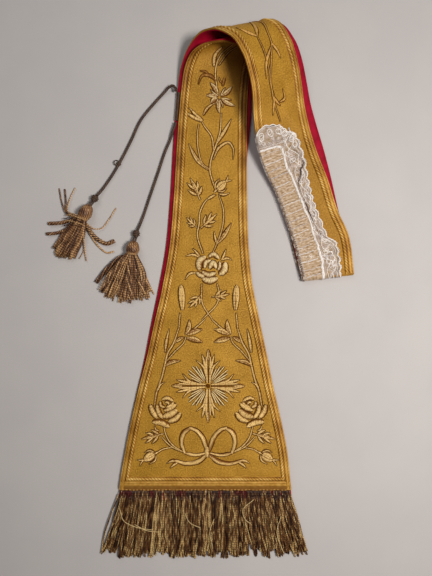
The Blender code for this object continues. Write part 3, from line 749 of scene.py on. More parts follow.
def lace_cloth():
    """The ribbed cotton band, yellowed, paler on its raised ribs."""
    made = Shader("lace_band", 0.9, 0.0, 0.1, tint(255, 245, 230))
    soft = made.noise(made.places(0.5, 1.2), 0.4, 5.0)
    tone = made.arithmetic("ADD", soft, made.shade(0.5))
    darks = (0.3, tint(138, 108, 76)), (0.48, tint(186, 156, 122))
    pales = (0.6, tint(206, 182, 156)), (0.75, tint(232, 214, 202))
    made.bump(soft, 0.6, 0.5)
    return made.done(made.ramp(tone, *darks, *pales))


def lace_net_cotton():
    """The net ground: pinkish white, with the gold cloth and its shadow showing through in patches."""
    made = Shader("lace_net", 0.9, 0.0, 0.1, tint(255, 245, 240))
    soft = made.noise(made.places(), 0.16, 4.0)
    darks = (0.3, tint(124, 100, 66)), (0.44, tint(178, 150, 112))
    pales = (0.56, tint(202, 178, 158)), (0.7, tint(226, 210, 202))
    colour = made.ramp(soft, *darks, *pales)
    grain = made.noise(made.places(), 0.7, 3.0)
    colour = made.dyed(colour, tint(120, 94, 76), grain, (0.38, 0.6), (0.52, 0.0))
    # the fold in the border is painted dark: painted shade
    colour = made.dyed(colour, tint(74, 54, 44), made.shade(), (0.2, 0.0), (0.8, 0.9))
    made.bump(grain, 0.7, 0.5)
    return made.done(colour)


def pale_floor():
    made = Shader("floor", 0.9)
    places = made.solid_places()
    soft = made.noise(places, 0.01, 3.0)
    made.bump(made.noise(places, 0.8, 2.0), 0.05, 0.3)
    return made.done(made.ramp(soft, (0.35, tint(199, 193, 191)), (0.65, tint(203, 197, 194))))


GOLD = gold_cloth()
RED = red_silk()
GALLOON = galloon_gold()
BRAID = braid_gold()
THREAD = satin_thread("gold_thread", tint(255, 212, 134), tint(128, 76, 20), 0.15)
THREAD_PALE = satin_thread("pale_gold_thread", tint(255, 226, 164), tint(146, 92, 34), 0.15)
THREAD_DULL = satin_thread("dull_gold_thread", tint(238, 184, 96), tint(140, 88, 30), 0.15)
RAY = satin_thread("bright_thread", tint(255, 236, 176), tint(214, 150, 70), 0.1)
OUTLINE = twisted_thread("outline_thread", tint(138, 82, 14), tint(72, 36, 2), 0.7, 0.0, 0.9, gloss=0.1)
BULLION = twisted_thread(
    "bullion", tint(255, 220, 150), tint(50, 21, 5), 0.42, 0.2, 2.4, middle=tint(150, 102, 54)
)
TASSEL = twisted_thread(
    "tassel_bullion", tint(238, 190, 130), tint(62, 32, 16), 0.5, 0.1, 2.4, middle=tint(150, 102, 62)
)
ROOT_RED = twisted_thread("red_roots", tint(150, 30, 34), tint(80, 12, 16), 0.7, 0.0, 2.4)
SILK_CORD = twisted_thread("brown_silk", tint(124, 92, 70), tint(58, 38, 26), 0.6, 0.0, 1.3, 0.1)
LACE = lace_cotton()
LACE_GROUND = lace_cloth()
LACE_NET = lace_net_cotton()


# ---------------------------------------------------------------- camera, cords and tassels


def add_camera():
    data = bpy.data.cameras.new("camera")
    data.lens = CAMERA_LENS
    data.sensor_width = CAMERA_SENSOR
    camera = bpy.data.objects.new("camera", data)
    camera.location = np.array(CAMERA_PLACE) * MM
    bpy.context.scene.collection.objects.link(camera)
    bpy.context.scene.camera = camera


CORD_STEP = 0.9  # between rings of a cord's mesh
CORD_SIDES = 12
CORD_PLIES = 3
CORD_PITCH = 11.0
CORD_SWELL = 1.04  # its plies stand this much proud of its plain radius
HELD_INSET = 1.0  # between the held cord and the strip's edge


def route_points(points):
    """A cord's middle line in metres, at an even spacing."""
    length = distances(np.array(points))[-1]
    return (smooth_line(points, int(length / CORD_STEP)) + PLACE) * MM


def cord_piece(name, path):
    form = Form()
    radius = CORD_DIAMETER / 2 * CORD_SWELL
    add_tube(form, path, radius, CORD_SIDES, lobes=CORD_PLIES, pitch=CORD_PITCH)
    return form.piece(name, [SILK_CORD], "brown_silk", [name])


def add_held_cord():
    along = np.linspace(*HELD_ENDS, 50)
    lateral = -half_width(along) + CORD_DIAMETER / 2 + HELD_INSET
    cord_piece("cord_held", surface(along, 0.0, lateral, -(CLEAR + CORD_DIAMETER / 2)))


def directions(heading):
    """Ahead and to the left, for a heading in degrees."""
    turn = math.radians(heading)
    ahead = np.array((math.cos(turn), math.sin(turn), 0.0))
    return ahead, np.array((-ahead[1], ahead[0], 0.0))


def spokes(aside, angle):
    """Directions round a level axis, at these angles from its left."""
    return aside * np.cos(angle)[..., None] + UP * np.sin(angle)[..., None]


def full_turn(count):
    return math.tau * np.arange(count) / count


KNOB_CORD = 1.25  # the radius of the cord that is wound into a knob
KNOB_TURNS = 5
KNOB_CORE = KNOB_RADIUS - 1.0
KNOB_LIFT = 0.2


def add_knob(tassel):
    """The ball knot above a tassel: cord wound round and round a core."""
    ahead, aside = directions(tassel.heading)
    centre = np.array((tassel.x, tassel.y, KNOB_RADIUS + KNOB_LIFT)) + PLACE
    t = np.linspace(0.06, 0.94, 110)
    path = centre - ahead * (KNOB_CORE * np.cos(math.pi * t))[:, None]
    reach = (KNOB_CORE - 0.1) * np.sin(math.pi * t)
    path = path + spokes(aside, math.tau * KNOB_TURNS * t) * reach[:, None]
    form = Form()
    add_tube(form, path * MM, KNOB_CORD, 7, up=ahead + 0.01 * UP)
    t = np.linspace(0.01, 0.99, 9)[:, None]
    ring = spokes(aside, full_turn(14)[None]) * np.sin(math.pi * t)[..., None]
    core = centre + KNOB_CORE * (ring - ahead * np.cos(math.pi * t)[..., None])
    form.add_grid(core * MM, 0.0, 0.0, wrap=True)
    name = "tassel_knob_" + tassel.name
    return form.piece(name, [SILK_CORD], "brown_silk", [name])


# How far along the head, as a share of its length, and its radius there.
HEAD_PROFILE = (
    (0.2, 1.5),
    (0.25, 4.6),
    (0.34, 6.6),
    (0.5, 8.3),
    (0.66, 9.3),
    (0.8, 8.9),
    (0.93, 7.4),
    (1.0, 6.2),
)
HEAD_Z = 9.4
HEAD_POINTS = 40  # round the head, and along it
HEAD_RIBS = 16
RIB_DEPTH = 0.035
NECK_CORD = 1.5  # the radius of each of the two cords that go into the head
BINDINGS = table("share thick", (0.985, 0.8), (0.93, 0.7))


def add_head(tassel, start, ahead, aside):
    """The tassel's ribbed head, with the cord that it hangs on and its bindings."""
    profile = smooth_line(np.array(HEAD_PROFILE) * (tassel.head, 1), HEAD_POINTS)
    angle = full_turn(HEAD_POINTS)[None]
    ribs = 1 + RIB_DEPTH * np.cos(HEAD_RIBS * angle + 0.55 * profile[:, :1])
    ring = spokes(aside, angle)
    points = start + ahead * profile[:, :1, None] + ring * (profile[:, 1:] * ribs)[..., None]
    # the ribs' crests are painted paler and their hollows darker: painted highlight and shade
    tone = 0.02 + 0.18 * (ribs - 1) / RIB_DEPTH
    form = Form()
    around = np.arange(HEAD_POINTS + 1)[None]
    form.add_closed(points[:, ::-1] * MM, profile[:, :1], around, 0, tone[:, ::-1])
    for sign in (-1, 1):
        link = start + ahead * np.linspace(-3.5, 0.27 * tassel.head, 12)[:, None]
        link = link + aside * (sign * NECK_CORD) + UP * np.linspace(-3.0, 0, 12)[:, None]
        add_tube(form, link * MM, NECK_CORD, 8, 1, lobes=2, pitch=5.0)
    for binding in BINDINGS:
        along = binding.share * tassel.head
        radius = float(np.interp(along, profile[:, 0], profile[:, 1]))
        loop = start + ahead * along + ring[0] * radius
        add_tube(form, np.concatenate([loop, loop[:1]]) * MM, binding.thick, 6, 0, 0.2, up=ahead)
    return form.piece("tassel_head_" + tassel.name, [TASSEL, SILK_CORD], "bullion")


ROLL_STRANDS = 6
ROLL_STRAND = 0.95
ROLL_PITCH = {"upper": 13.0, "lower": 60.0}
ROLL_NECK = 14.0  # a roll reaches its full thickness this far from the head

# The thick twisted rolls and the loose ends of each tassel: points has x, y and z along them.
ROLLS = table(
    "tassel radius shade points",
    ("upper", 2.9, -0.05, ((-208, 96, 9), (-222, 95, 7), (-240, 91, 4), (-259, 90, 3))),
    ("upper", 2.6, -0.10, ((-210, 92, 7), (-226, 85, 5), (-244, 77, 3), (-262, 75, 2.6))),
    ("upper", 3.1, 0.0, ((-205, 92, 8), (-199, 80, 6), (-186, 66, 3.5), (-174, 61, 3), (-164, 65, 3))),
    ("lower", 3.3, -0.15, ((-144, 46, 8), (-156, 40, 6), (-174, 25, 4), (-190, 5, 3.2))),
    ("lower", 3.7, 0.05, ((-143, 45, 10), (-153, 34, 9), (-168, 14, 7), (-181, -9, 3.8))),
    ("lower", 3.8, 0.0, ((-140, 45, 11), (-141, 32, 9), (-142, 8, 6), (-141, -19, 4.0))),
    ("lower", 3.4, 0.1, ((-138, 46, 9), (-134, 34, 7), (-129, 12, 5), (-122, -13, 3.6))),
    ("lower", 2.4, 0.15, ((-136, 46, 7), (-128, 34, 5), (-120, 14, 3), (-111, -8, 2.4))),
)
LOOSE_ENDS = table(
    "tassel radius shade points",
    ("upper", 1.0, 0.1, ((-206, 94, 12), (-220, 98, 11), (-232, 104, 6), (-240, 121, 3), (-244, 141, 2))),
    ("upper", 1.3, 0.0, ((-206, 95, 12), (-219, 100, 12), (-231, 105, 7), (-234, 123, 3), (-236, 140, 2))),
    ("upper", 0.8, 0.35, ((-205, 96, 12), (-218, 102, 11), (-230, 107, 6), (-228, 126, 3), (-221, 142, 2))),
    ("upper", 0.9, 0.4, ((-203, 90, 9), (-192, 82, 6), (-183, 83, 3), (-173, 95, 2), (-162, 113, 1.2))),
    ("upper", 1.3, 0.4, ((-204, 88, 7), (-196, 70, 4), (-185, 55, 2), (-175, 48, 1.6), (-165, 50, 1.4))),
    ("upper", 0.9, 0.45, ((-206, 90, 10), (-207, 70, 7), (-206, 50, 4), (-205, 36, 2))),
    ("upper", 0.8, 0.35, ((-204, 93, 14), (-213, 97, 15), (-225, 101, 12), (-233, 101, 7))),
    ("upper", 0.8, -0.3, ((-205, 90, 14), (-215, 93, 15), (-227, 97, 12), (-236, 96, 7))),
    ("upper", 0.7, 0.4, ((-206, 87, 14), (-216, 90, 14), (-228, 93, 11), (-236, 92, 7))),
    ("upper", 0.7, -0.2, ((-207, 84, 13), (-217, 86, 13), (-229, 88, 10), (-236, 86, 6))),
    ("lower", 1.0, 0.35, ((-137, 46, 7), (-126, 30, 4), (-117, 8, 2.5), (-107, -12, 1.6))),
    ("lower", 0.9, 0.4, ((-137, 44, 9), (-131, 20, 7), (-124, 0, 5), (-117, -18, 1.6))),
    ("lower", 0.9, 0.3, ((-142, 44, 9), (-150, 20, 8), (-158, 0, 6), (-167, -22, 1.6))),
)


def add_roll(form, roll, pitch):
    """A stray roll of bullion: strands twisted round one another, thin where they leave the head."""
    path = smooth_line(roll.points, 46)
    path[:, 2] = np.maximum(path[:, 2], roll.radius + 0.1)
    ahead = unit(np.gradient(path, axis=0))
    side = unit(np.cross(ahead, UP))
    top = np.cross(side, ahead)
    along = distances(path)
    reach = (roll.radius - ROLL_STRAND) * np.clip(along / ROLL_NECK, 0.4, 1.0)
    for strand in range(ROLL_STRANDS):
        angle = math.tau * (strand / ROLL_STRANDS + along / pitch)
        offset = side * (reach * np.cos(angle))[:, None] + top * (reach * np.sin(angle))[:, None]
        tone = roll.shade + (0.2 if strand % 2 else -0.15)
        add_tube(form, (path + offset + PLACE) * MM, ROLL_STRAND, 5, 0, tone)


LOCKS = 12
LOCK_STRANDS = 12
ROOT_HALF = 5.6  # half the width of the skirt where it leaves the head
SKIRT_RADII = (0.7, 0.58)  # of a strand, from its root to its tip
SKIRT_LOWEST = 0.9


def add_skirt(tassel, end, ahead, aside, rng):
    """A full skirt of twisted bullion, in locks, with its rolls and its loose ends."""
    form = Form()
    t = np.linspace(0, 1, 12)
    for lock in range(LOCKS):
        v = (2 * (lock + 0.5) / LOCKS - 1) + rng.uniform(-0.05, 0.05)
        lock_length = tassel.length * (1 - 0.12 * v * v) * rng.uniform(0.93, 1.05)
        lock_z = rng.uniform(1.6, 7.5)
        lock_shade = rng.uniform(-0.15, 0.18)
        for strand in range(LOCK_STRANDS):
            spread = rng.normal(0, 1, 2)
            fan = v * tassel.fan + 2.1 * spread[0]
            reach = lock_length * rng.uniform(0.94, 1.03)
            root = end + aside * (v * ROOT_HALF + 0.5 * spread[1]) + UP * rng.uniform(-4.5, 5.0)
            tip = end + ahead * (reach + 4.0) + aside * fan
            tip[2] = max(SKIRT_LOWEST, lock_z + 0.9 * spread[1])
            bow = root * 0.52 + tip * 0.48 + aside * (v * tassel.fan * 0.16 + 1.2 * spread[1])
            bow[2] = 0.35 * root[2] + 0.65 * tip[2]
            near = root * 0.2 + tip * 0.8 + aside * 1.3 * spread[0]
            near[2] = tip[2] + 0.3
            path = smooth_line([root, bow, near, tip], len(t))
            shade = lock_shade + rng.uniform(-0.25, 0.28) + 0.16 * t**2
            radii = np.linspace(*SKIRT_RADII, len(t))
            add_tube(form, path * MM, radii, 4, 0, np.repeat(shade, 4))
    for roll in ROLLS:
        if roll.tassel == tassel.name:
            add_roll(form, roll, ROLL_PITCH[tassel.name])
    for loose in LOOSE_ENDS:
        if loose.tassel == tassel.name:
            path = smooth_line(loose.points, 26) + PLACE
            add_tube(form, path * MM, loose.radius, 6, 0, loose.shade, lobes=2, pitch=4.0)
    name = "tassel_" + tassel.name
    form.piece(name, [TASSEL], "bullion", [name])


def add_tassel(tassel, rng):
    """The tassel below its knob. Its head hangs on the cord, and its skirt lies beyond."""
    ahead, aside = directions(tassel.heading)
    start = np.array((tassel.x, tassel.y, HEAD_Z)) + PLACE + ahead * (KNOB_RADIUS + CLEAR)
    head = add_head(tassel, start, ahead, aside)
    add_skirt(tassel, start + ahead * (tassel.head - 3.0), ahead, aside, rng)
    return head


RING_KNOT = (-157.8, 176.2, 2.7)
RING_KNOT_AHEAD = np.array((0.52, 0.85, 0.0))
RING_RADIUS = 3.4
RING_CORD = 0.75
COIL_CORD = 0.85
COIL_LOWEST = -1.6


def add_ring_knot():
    """The little knotted loop part of the way down the upper cord."""
    centre = np.array(RING_KNOT) + PLACE
    form = Form()
    angle = np.linspace(0, math.tau, 40)
    x, y = RING_RADIUS * np.cos(angle) - 3.2, RING_RADIUS * np.sin(angle) + 1.6
    add_tube(form, (centre + np.stack([x, y, 0.9 + 0 * angle], axis=1)) * MM, RING_CORD, 6)
    wrap = np.linspace(0, 2 * math.tau, 60)
    aside = np.array((RING_KNOT_AHEAD[1], -RING_KNOT_AHEAD[0], 0.0))
    coil = RING_KNOT_AHEAD * (0.225 * (wrap - math.tau))[:, None]
    coil = coil + aside * (2.5 * np.cos(wrap))[:, None] + UP * (2.3 * np.sin(wrap) + 0.1)[:, None]
    coil[:, 2] = np.maximum(coil[:, 2], COIL_LOWEST)
    add_tube(form, (centre + coil) * MM, COIL_CORD, 6, up=RING_KNOT_AHEAD + 0.01 * UP)
    return form.piece("cord_ring_knot", [SILK_CORD], "brown_silk")


def add_cords_and_tassels():
    add_held_cord()
    rng = np.random.default_rng(21)
    ends = {tassel.name: [add_knob(tassel), add_tassel(tassel, rng)] for tassel in TASSELS}
    ends["upper"].append(add_ring_knot())
    for name, points in (("upper", CORD_UPPER), ("lower", CORD_LOWER)):
        path = route_points(points)
        piece = cord_piece("cord_" + name, path)
        length = float(np.linalg.norm(np.diff(path, axis=0), axis=1).sum())
        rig.cord(
            piece,
            exit=path[0],
            length=round(length, 3),
            diameter=CORD_DIAMETER * MM,
            far_end="fitting",
            stiffness="limp",
            lay="loose",
            path=path,
            with_pieces=ends[name],
        )


# ---------------------------------------------------------------- cloth

ROW_STEP = 3.2
COLUMNS = 44
UNDER_COLUMNS = 14
COLUMN_CROWDING = 1.25  # the columns lie closer together towards the edges
FOLD_STEPS = 14
FOLD_ARC = 9.0  # the length of cloth that goes round the neck fold
EDGE_ROLL = 1.4  # the edge is rounded this far in,
EDGE_THINNED = 0.55  # by this share of the cloth's thickness
UNDER_INSET = 0.2
WORN_EDGE = 16.0  # the gold is browner this far in from its edges
EDGE_SHADE = 0.65
CURL_FROM = 560.0  # past here the upper ply's gold side lies inside the curl, and is painted darker there: painted shade
CURL_PAINTED_SHADE = 1.2
ARM_FROM = 780.0  # and past here the right-hand arm is painted a little darker too: painted shade
ARM_PAINTED_SHADE = 0.5
SLACK = {"lower": 0.0, "upper": 6.5}
SLACK_AT = 565.0
SLACK_HALF = 55.0


def lower_path():
    """Along and fold of each row, up the lower ply and round the neck fold."""
    rows = [(along, 0.0) for along in np.linspace(0, NECK, int(NECK / ROW_STEP))]
    return rows + [(NECK, step / FOLD_STEPS) for step in range(1, FOLD_STEPS + 1)]


def upper_path():
    return [(along, 1.0) for along in np.linspace(UPPER_HEM, NECK - CLEAR, int(NECK / ROW_STEP))]


def cloth_wear_and_painted_shade(along, fold, lateral, half):
    """How brown the gold is: worn along its edges, and painted darker inside the curl and on the right-hand arm, which
    is painted shade.
    """
    edge = np.clip(1 - (half - abs(lateral)) / WORN_EDGE, 0, 1)
    # inside the curl the painted shade is deepest towards the right-hand side and further up
    inwards = np.interp(lateral / half, (-0.2, 0.7), (0.1, 1.0))
    inwards = np.maximum(inwards, 0.9 * np.clip((along - CURL_FROM - 60) / 50, 0, 1))
    painted_shade = np.clip((along - CURL_FROM) / 60, 0, 1) * (fold > 0.9) * inwards
    painted_shade = painted_shade + ARM_PAINTED_SHADE * np.clip((along - ARM_FROM) / 80, 0, 1) * (fold < 0.1)
    return edge**1.5 * EDGE_SHADE + CURL_PAINTED_SHADE * painted_shade


def shell(name, path, depths, inset, material, slot, stands_out, slack=0.0):
    """A closed cloth shell with rounded edges. Its outer face takes the cloth's unevenness.

    slack is how far the right-hand edge bellies out where the stole starts to turn over.
    """
    path = np.array(path)
    along, fold = path[:, :1], path[:, 1:]
    half = half_width(along) - inset
    belly = slack * np.exp(-(((along - SLACK_AT) / SLACK_HALF) ** 2))
    crowded = np.sin(np.linspace(-1, 1, COLUMNS) * COLUMN_CROWDING)
    share = (crowded / math.sin(COLUMN_CROWDING))[None]
    outer = half * share
    roll = 1 - np.clip((half - abs(outer)) / EDGE_ROLL, 0, 1)
    outer = outer + belly * np.clip(share, 0, 1) ** 2
    height = depths[1] - EDGE_THINNED * (depths[1] - depths[0]) * roll**2
    if stands_out:
        height = height + relief(along, fold, outer)
    under_share = np.linspace(1, -1, UNDER_COLUMNS)[None]
    under = (half - UNDER_INSET) * under_share + belly * np.clip(under_share, 0, 1) ** 2
    top = surface(along, fold, outer, height)
    bottom = surface(along, fold, under, depths[0])
    lateral = np.concatenate([outer, under, outer[:, :1]], axis=1)
    walked = distances(path * (1, FOLD_ARC))[:, None]
    shade = cloth_wear_and_painted_shade(along, fold, lateral[:, :-1], half)
    form = Form()
    form.add_closed(np.concatenate([top, bottom], axis=1), lateral, walked, 0, shade)
    return form.piece(name, [material], slot, [name])


def whole_area(start, end):
    """Flat area of a stretch of the strip, in square metres."""
    along = np.linspace(start, end, 400)
    return float(np.mean(2 * half_width(along))) * (end - start) * MM * MM


def add_cloth():
    width = float(column(SECTIONS, "width").max()) * MM
    for name, path, start in (("lower", lower_path(), 0.0), ("upper", upper_path(), UPPER_HEM)):
        panel = shell("panel_" + name, path, CLOTH, 0.0, GOLD, "cloth_of_gold", True)
        lining = shell("lining_" + name, path, LINING, LINING_INSET, RED, "red_lining", False, SLACK[name])
        for piece, rests in ((panel, "panel_lower"), (lining, "panel_" + name)):
            on = [] if piece.name == rests else [rests]
            length = (NECK - start) * MM
            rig.sheet(piece, flat=(width, length), held="folded", rests_on=on, area=whole_area(start, NECK))


# ---------------------------------------------------------------- edgings and braid

# Across the braid, from the cloth's edge inwards: how high it stands, how pale it is, and how
# deeply its beads are parted.
BRAID_BANDS = table(
    "inset height tone parted",
    (0.3, 0.0, 0.42, 0.0),
    (0.8, 0.6, 0.56, 0.1),
    (1.5, 0.6, 0.42, 0.3),
    (2.1, 0.25, 0.12, 0.5),
    (2.8, 0.7, 0.38, 0.45),
    (4.5, 1.0, 0.5, 0.2),
    (6.2, 0.8, 0.36, 0.5),
    (7.0, 0.2, 0.1, 0.7),
    (BRAID_INSET, 1.1, 0.36, 1.2),
    (BRAID_INSET + 0.25 * BRAID_WIDTH, 2.0, 0.6, 1.2),
    (BRAID_INSET + 0.5 * BRAID_WIDTH, 2.1, 0.72, 1.1),
    (BRAID_INSET + 0.75 * BRAID_WIDTH, 1.8, 0.58, 1.2),
    (BRAID_INSET + 0.95 * BRAID_WIDTH, 0.5, 0.18, 0.6),
    (BRAID_INSET + BRAID_WIDTH + 0.6, -0.2, 0.3, 0.0),
)
BRAID_ENDS = (BRAID_BANDS[0].inset, BRAID_BANDS[-1].inset)
ROPE_FROM = 7.0  # the plait's own beads begin here
BEAD_PITCH = 4.4
BEAD_SLANT = 0.24
BRAID_STEP = 0.75
PAINTED_SHADE_FROM = 400.0  # towards the curl the upper ply's edging is painted darker: painted shade
UNDER_ARM = (780.0, 860.0)  # where the upper ply comes to lie under the right-hand arm, pressed flat
UNDER_CURL = (592.0, 650.0)  # where the lower ply lifts from the floor
PRESSED = 0.55  # the share of its height that what is pressed flat keeps
LACE_TOP_ROOM = 226.0  # from the neck fold to the braid's end at the lace's top
LACE_END_ROOM = 3.0


def woven(form, along, fold, lateral, inset, run, slot, flip):
    """A strip of the braid: run is the distance along it, inset the distance in from the edge."""
    along, lateral, inset, run = np.broadcast_arrays(along, lateral, inset, run)
    height, tone, parted = (
        np.interp(inset, column(BRAID_BANDS, "inset"), column(BRAID_BANDS, name))
        for name in ("height", "tone", "parted")
    )
    uneven = 0.7 * np.sin(run / 8.3) + 0.4 * np.sin(run / 3.7 + 1)
    bead = abs(np.sin(math.pi * ((run + uneven) / BEAD_PITCH + BEAD_SLANT * inset)))
    gap = parted * (1 - bead**0.7)
    if fold > 0.9:
        pressed = np.interp(along, UNDER_ARM, (1.0, PRESSED))
    else:
        pressed = np.interp(along, UNDER_CURL, (PRESSED, 1.0))
    points = on_cloth(along, fold, lateral, pressed * height * (1 - 0.6 * gap))
    # inside the curl on its right-hand side, towards the curl and between the beads the braid is painted darker:
    # painted shade
    painted_curl_dark = np.clip((along - CURL_FROM) / 60, 0, 1) * (fold > 0.9) * (lateral > 0)
    wear_and_painted_shade = np.clip((along - PAINTED_SHADE_FROM) / 90, 0, 1) * (fold > 0.9) * (inset < ROPE_FROM)
    shade = tone - 0.3 * painted_curl_dark - 0.15 * wear_and_painted_shade - 0.62 * gap
    shade = shade + 0.07 * np.sin(run / 21) + 0.08 * np.sin(run / 6.1)
    order = slice(None, None, -1) if flip else slice(None)
    form.add_grid(points[:, order], inset[:, order], run[:, order], slot, shade[:, order])


def side_braid(form, start, end, fold, side):
    """The braid along one long edge. start is where it begins at a given inset."""
    inset = np.linspace(*BRAID_ENDS, 25)[None]
    first = start(inset)
    rows = int((end - float(first.min())) / BRAID_STEP)
    along = first + (end - first) * np.linspace(0, 1, rows)[:, None]
    lateral = side * (half_width(along) - inset)
    woven(form, along, fold, lateral, inset, along, 0, side > 0)


def add_hem_braid(form, corner):
    """The plait along the upper hem, mitred into those of the two sides."""
    inset = np.linspace(ROPE_FROM + 0.2, BRAID_ENDS[1], 13)[None]
    along = corner + inset
    half = half_width(along) - inset
    lateral = half * np.linspace(-1, 1, int(2 * float(half.max()) / BRAID_STEP))[:, None]
    woven(form, along, 1.0, lateral, inset, lateral, 0, True)


def add_heading(form):
    """The fringe's woven heading over the upper hem, ridged twice, and the cord along its edge."""
    share = np.linspace(0, 1, 12)[:, None]
    across = np.linspace(-1, 1, 90)[None]
    along = UPPER_HEM + 0.6 + (HEM_BRAID_INSET - 2.2) * share
    crown = 0.5 * np.sin(math.pi * np.clip(share, 0.06, 0.94)) ** 0.35
    for ridge in (0.55, 0.85):
        crown = crown + 0.5 * np.exp(-(((share - ridge) / 0.08) ** 2))
    points = on_cloth(along, 1.0, (half_width(along) - 0.4) * across, crown - 0.1)
    # the heading is painted darker in its recess and most where it rounds under at the hem, pale on its first ridge:
    # painted shade
    shade = np.interp(share, (0, 0.4, 0.55, 1), (0.85, 0.7, 0.0, 0.1)) + 0 * across
    form.add_grid(points, along, half_width(along) * across, 1, shade)
    across = np.linspace(-0.985, 0.985, 260)
    hem = UPPER_HEM + 0.1 + 0.25 * np.sin(40 * across)
    path = on_cloth(hem, 1.0, half_width(hem) * across, 0.2)
    add_tube(form, path, 0.6, 6, 2, np.repeat(0.25 * np.sin(150 * across) - 0.05, 6))


def add_braids():
    """The rope braid inside each edge, with a narrow woven edging outside it."""
    corner = UPPER_HEM + HEM_BRAID_INSET - BRAID_INSET

    def turns_at(inset):
        return np.where(inset >= ROPE_FROM, corner + inset, UPPER_HEM + 0.5)

    def lifts_at(inset):
        return UNDER_CURL[0] + 0 * inset

    form = Form()
    for side, end in ((-1, NECK - LACE_UNDER - LACE_END_ROOM), (1, NECK - 1)):
        side_braid(form, turns_at, end, 1.0, side)
    add_hem_braid(form, corner)
    add_heading(form)
    form.piece("braid_upper", [BRAID, GALLOON, THREAD_DULL], "gold_braid", ["braid_upper"])
    for name, side, end in (("left", -1, NECK - LACE_TOP_ROOM), ("right", 1, NECK)):
        form = Form()
        side_braid(form, lifts_at, end, 0.0, side)
        name = "braid_lower_" + name
        form.piece(name, [BRAID], "gold_braid", [name])


# ---------------------------------------------------------------- embroidery

# Half widths along a stitched shape, as shares of its length and of its half width.
OUTLINES = {
    "stem": ((0.0, 0.7), (0.1, 1.0), (0.8, 0.9), (1.0, 0.5)),
    "leaf": ((0.0, 0.15), (0.18, 0.62), (0.42, 1.0), (0.7, 0.72), (1.0, 0.05)),
    "blade": ((0.0, 0.25), (0.3, 1.0), (0.6, 0.8), (1.0, 0.05)),
    "petal": ((0.0, 0.35), (0.15, 0.85), (0.5, 1.0), (0.85, 0.85), (1.0, 0.35)),
    "ribbon": ((0.0, 0.55), (0.25, 1.0), (0.7, 0.8), (1.0, 0.55)),
    "ray": ((0.0, 0.6), (0.3, 1.0), (0.9, 1.0), (1.0, 0.7)),
}
CROWNS = {"stem": 1.4, "leaf": 2.2, "blade": 2.0, "petal": 2.8, "ribbon": 1.9, "ray": 1.5}
STITCH_STEP = 1.5
STITCH_COLUMNS = 9
EDGE_SINK = 0.2
VEINED_FROM = 3.0  # a leaf of this half width has a vein
VEIN_HALF = 0.24
VEIN_DEPTH = 0.6
VEIN_SHADE = 0.38
TONE = 0.2  # how pale a shape's middle is, and how far that varies
TONE_RANGE = 0.07
LEAN_PAINTED_LIGHT = 0.34  # how much paler one side of a shape can be painted than its middle: painted highlight and shade
STITCH_EDGE_SHADE = 0.5  # how much darker it is painted along its sides, and where it begins: painted shade
STITCH_ROOT_SHADE = 0.2
OUTLINE_RADIUS = 0.58
OUTLINE_OUT = 0.35  # from the satin's edge to the middle of the cord beside it

Stitch = namedtuple("Stitch", "kind half points")


def drawing(*rows):
    """Stitches, from rows of kind, half and points."""
    return [Stitch(*row) for row in rows]


def turned(stitches, place, size=1.0, heading=0.0, flip=False):
    """Stitches moved to a place, from a drawing of their own that points up."""
    turn = math.radians(heading - 90)
    cosine, sine = math.cos(turn), math.sin(turn)
    found = []
    for stitch in stitches:
        points = np.array(stitch.points, float) * size
        if flip:
            points[:, 0] *= -1
        x = points[:, 0] * cosine - points[:, 1] * sine + place[0]
        y = points[:, 0] * sine + points[:, 1] * cosine + place[1]
        found.append(Stitch(stitch.kind, stitch.half * size, np.stack([x, y], axis=1)))
    return found


def both_sides(stitches, axis):
    """Stitches given from the middle line outwards, on the right and mirrored on the left."""
    found = []
    for side in (-1, 1):
        for stitch in stitches:
            points = np.array(stitch.points, float) * (side, 1) + (axis, 0)
            found.append(Stitch(stitch.kind, stitch.half, points))
    return found


def add_stitch(form, chart, stitch, rng, bright=0.0):
    """A padded satin shape, with a brown cord couched along both of its sides."""
    points = np.array(stitch.points, float)
    length = distances(points)[-1]
    count = int(np.clip(length / STITCH_STEP, 7, 90))
    spine = smooth_line(points, count)
    ahead = unit(np.gradient(spine, axis=0))
    aside = np.stack([-ahead[:, 1], ahead[:, 0]], axis=1)
    along = np.linspace(0, 1, count)
    halves = stitch.half * np.interp(along, *zip(*OUTLINES[stitch.kind]))
    share, half = along[:, None], halves[:, None]
    v = np.linspace(-1, 1, STITCH_COLUMNS)[None]
    crown = CROWNS[stitch.kind] * min(1.0, 0.35 + stitch.half / 3.5)
    veined = stitch.half >= VEINED_FROM and stitch.kind == "leaf"
    vein = np.exp(-((v / VEIN_HALF) ** 2)) * veined
    rise = crown * np.sqrt(1 - v**2) * (half / stitch.half) ** 0.5 * (1 - VEIN_DEPTH * vein)
    flat = spine[:, None] + aside[:, None] * (half * v)[..., None]
    painted_lean = rng.choice((-1, 1)) * rng.uniform(0.4, 1.0) * LEAN_PAINTED_LIGHT
    # each shape is painted darker at its sides, its root and its vein, and paler on one side: painted shade and
    # highlight
    tone = bright + rng.uniform(-TONE_RANGE, TONE_RANGE) + TONE
    tone = tone - STITCH_EDGE_SHADE * abs(v) ** 3 - STITCH_ROOT_SHADE * (1 - share) ** 3
    tone = tone + painted_lean * v - VEIN_SHADE * vein
    places = (share * length + 0.5 * abs(v) * half, v * half)
    if stitch.kind == "ribbon":  # its threads run lengthwise
        places = places[::-1]
    form.add_grid(chart(flat, rise - EDGE_SINK), *places, 0, tone)
    for side in (-1, 1):
        beside = spine + aside * (side * (halves + OUTLINE_OUT))[:, None]
        path = chart(beside, np.full(count, 0.1))
        up = unit(chart(beside, np.full(count, 1.1)) - path)
        swell = 0.85 + 0.25 * np.sin(along * length / 5 + rng.uniform(0, 6))
        add_tube(form, path, OUTLINE_RADIUS * swell, 5, 1, rng.uniform(-0.15, 0.2), up=up)


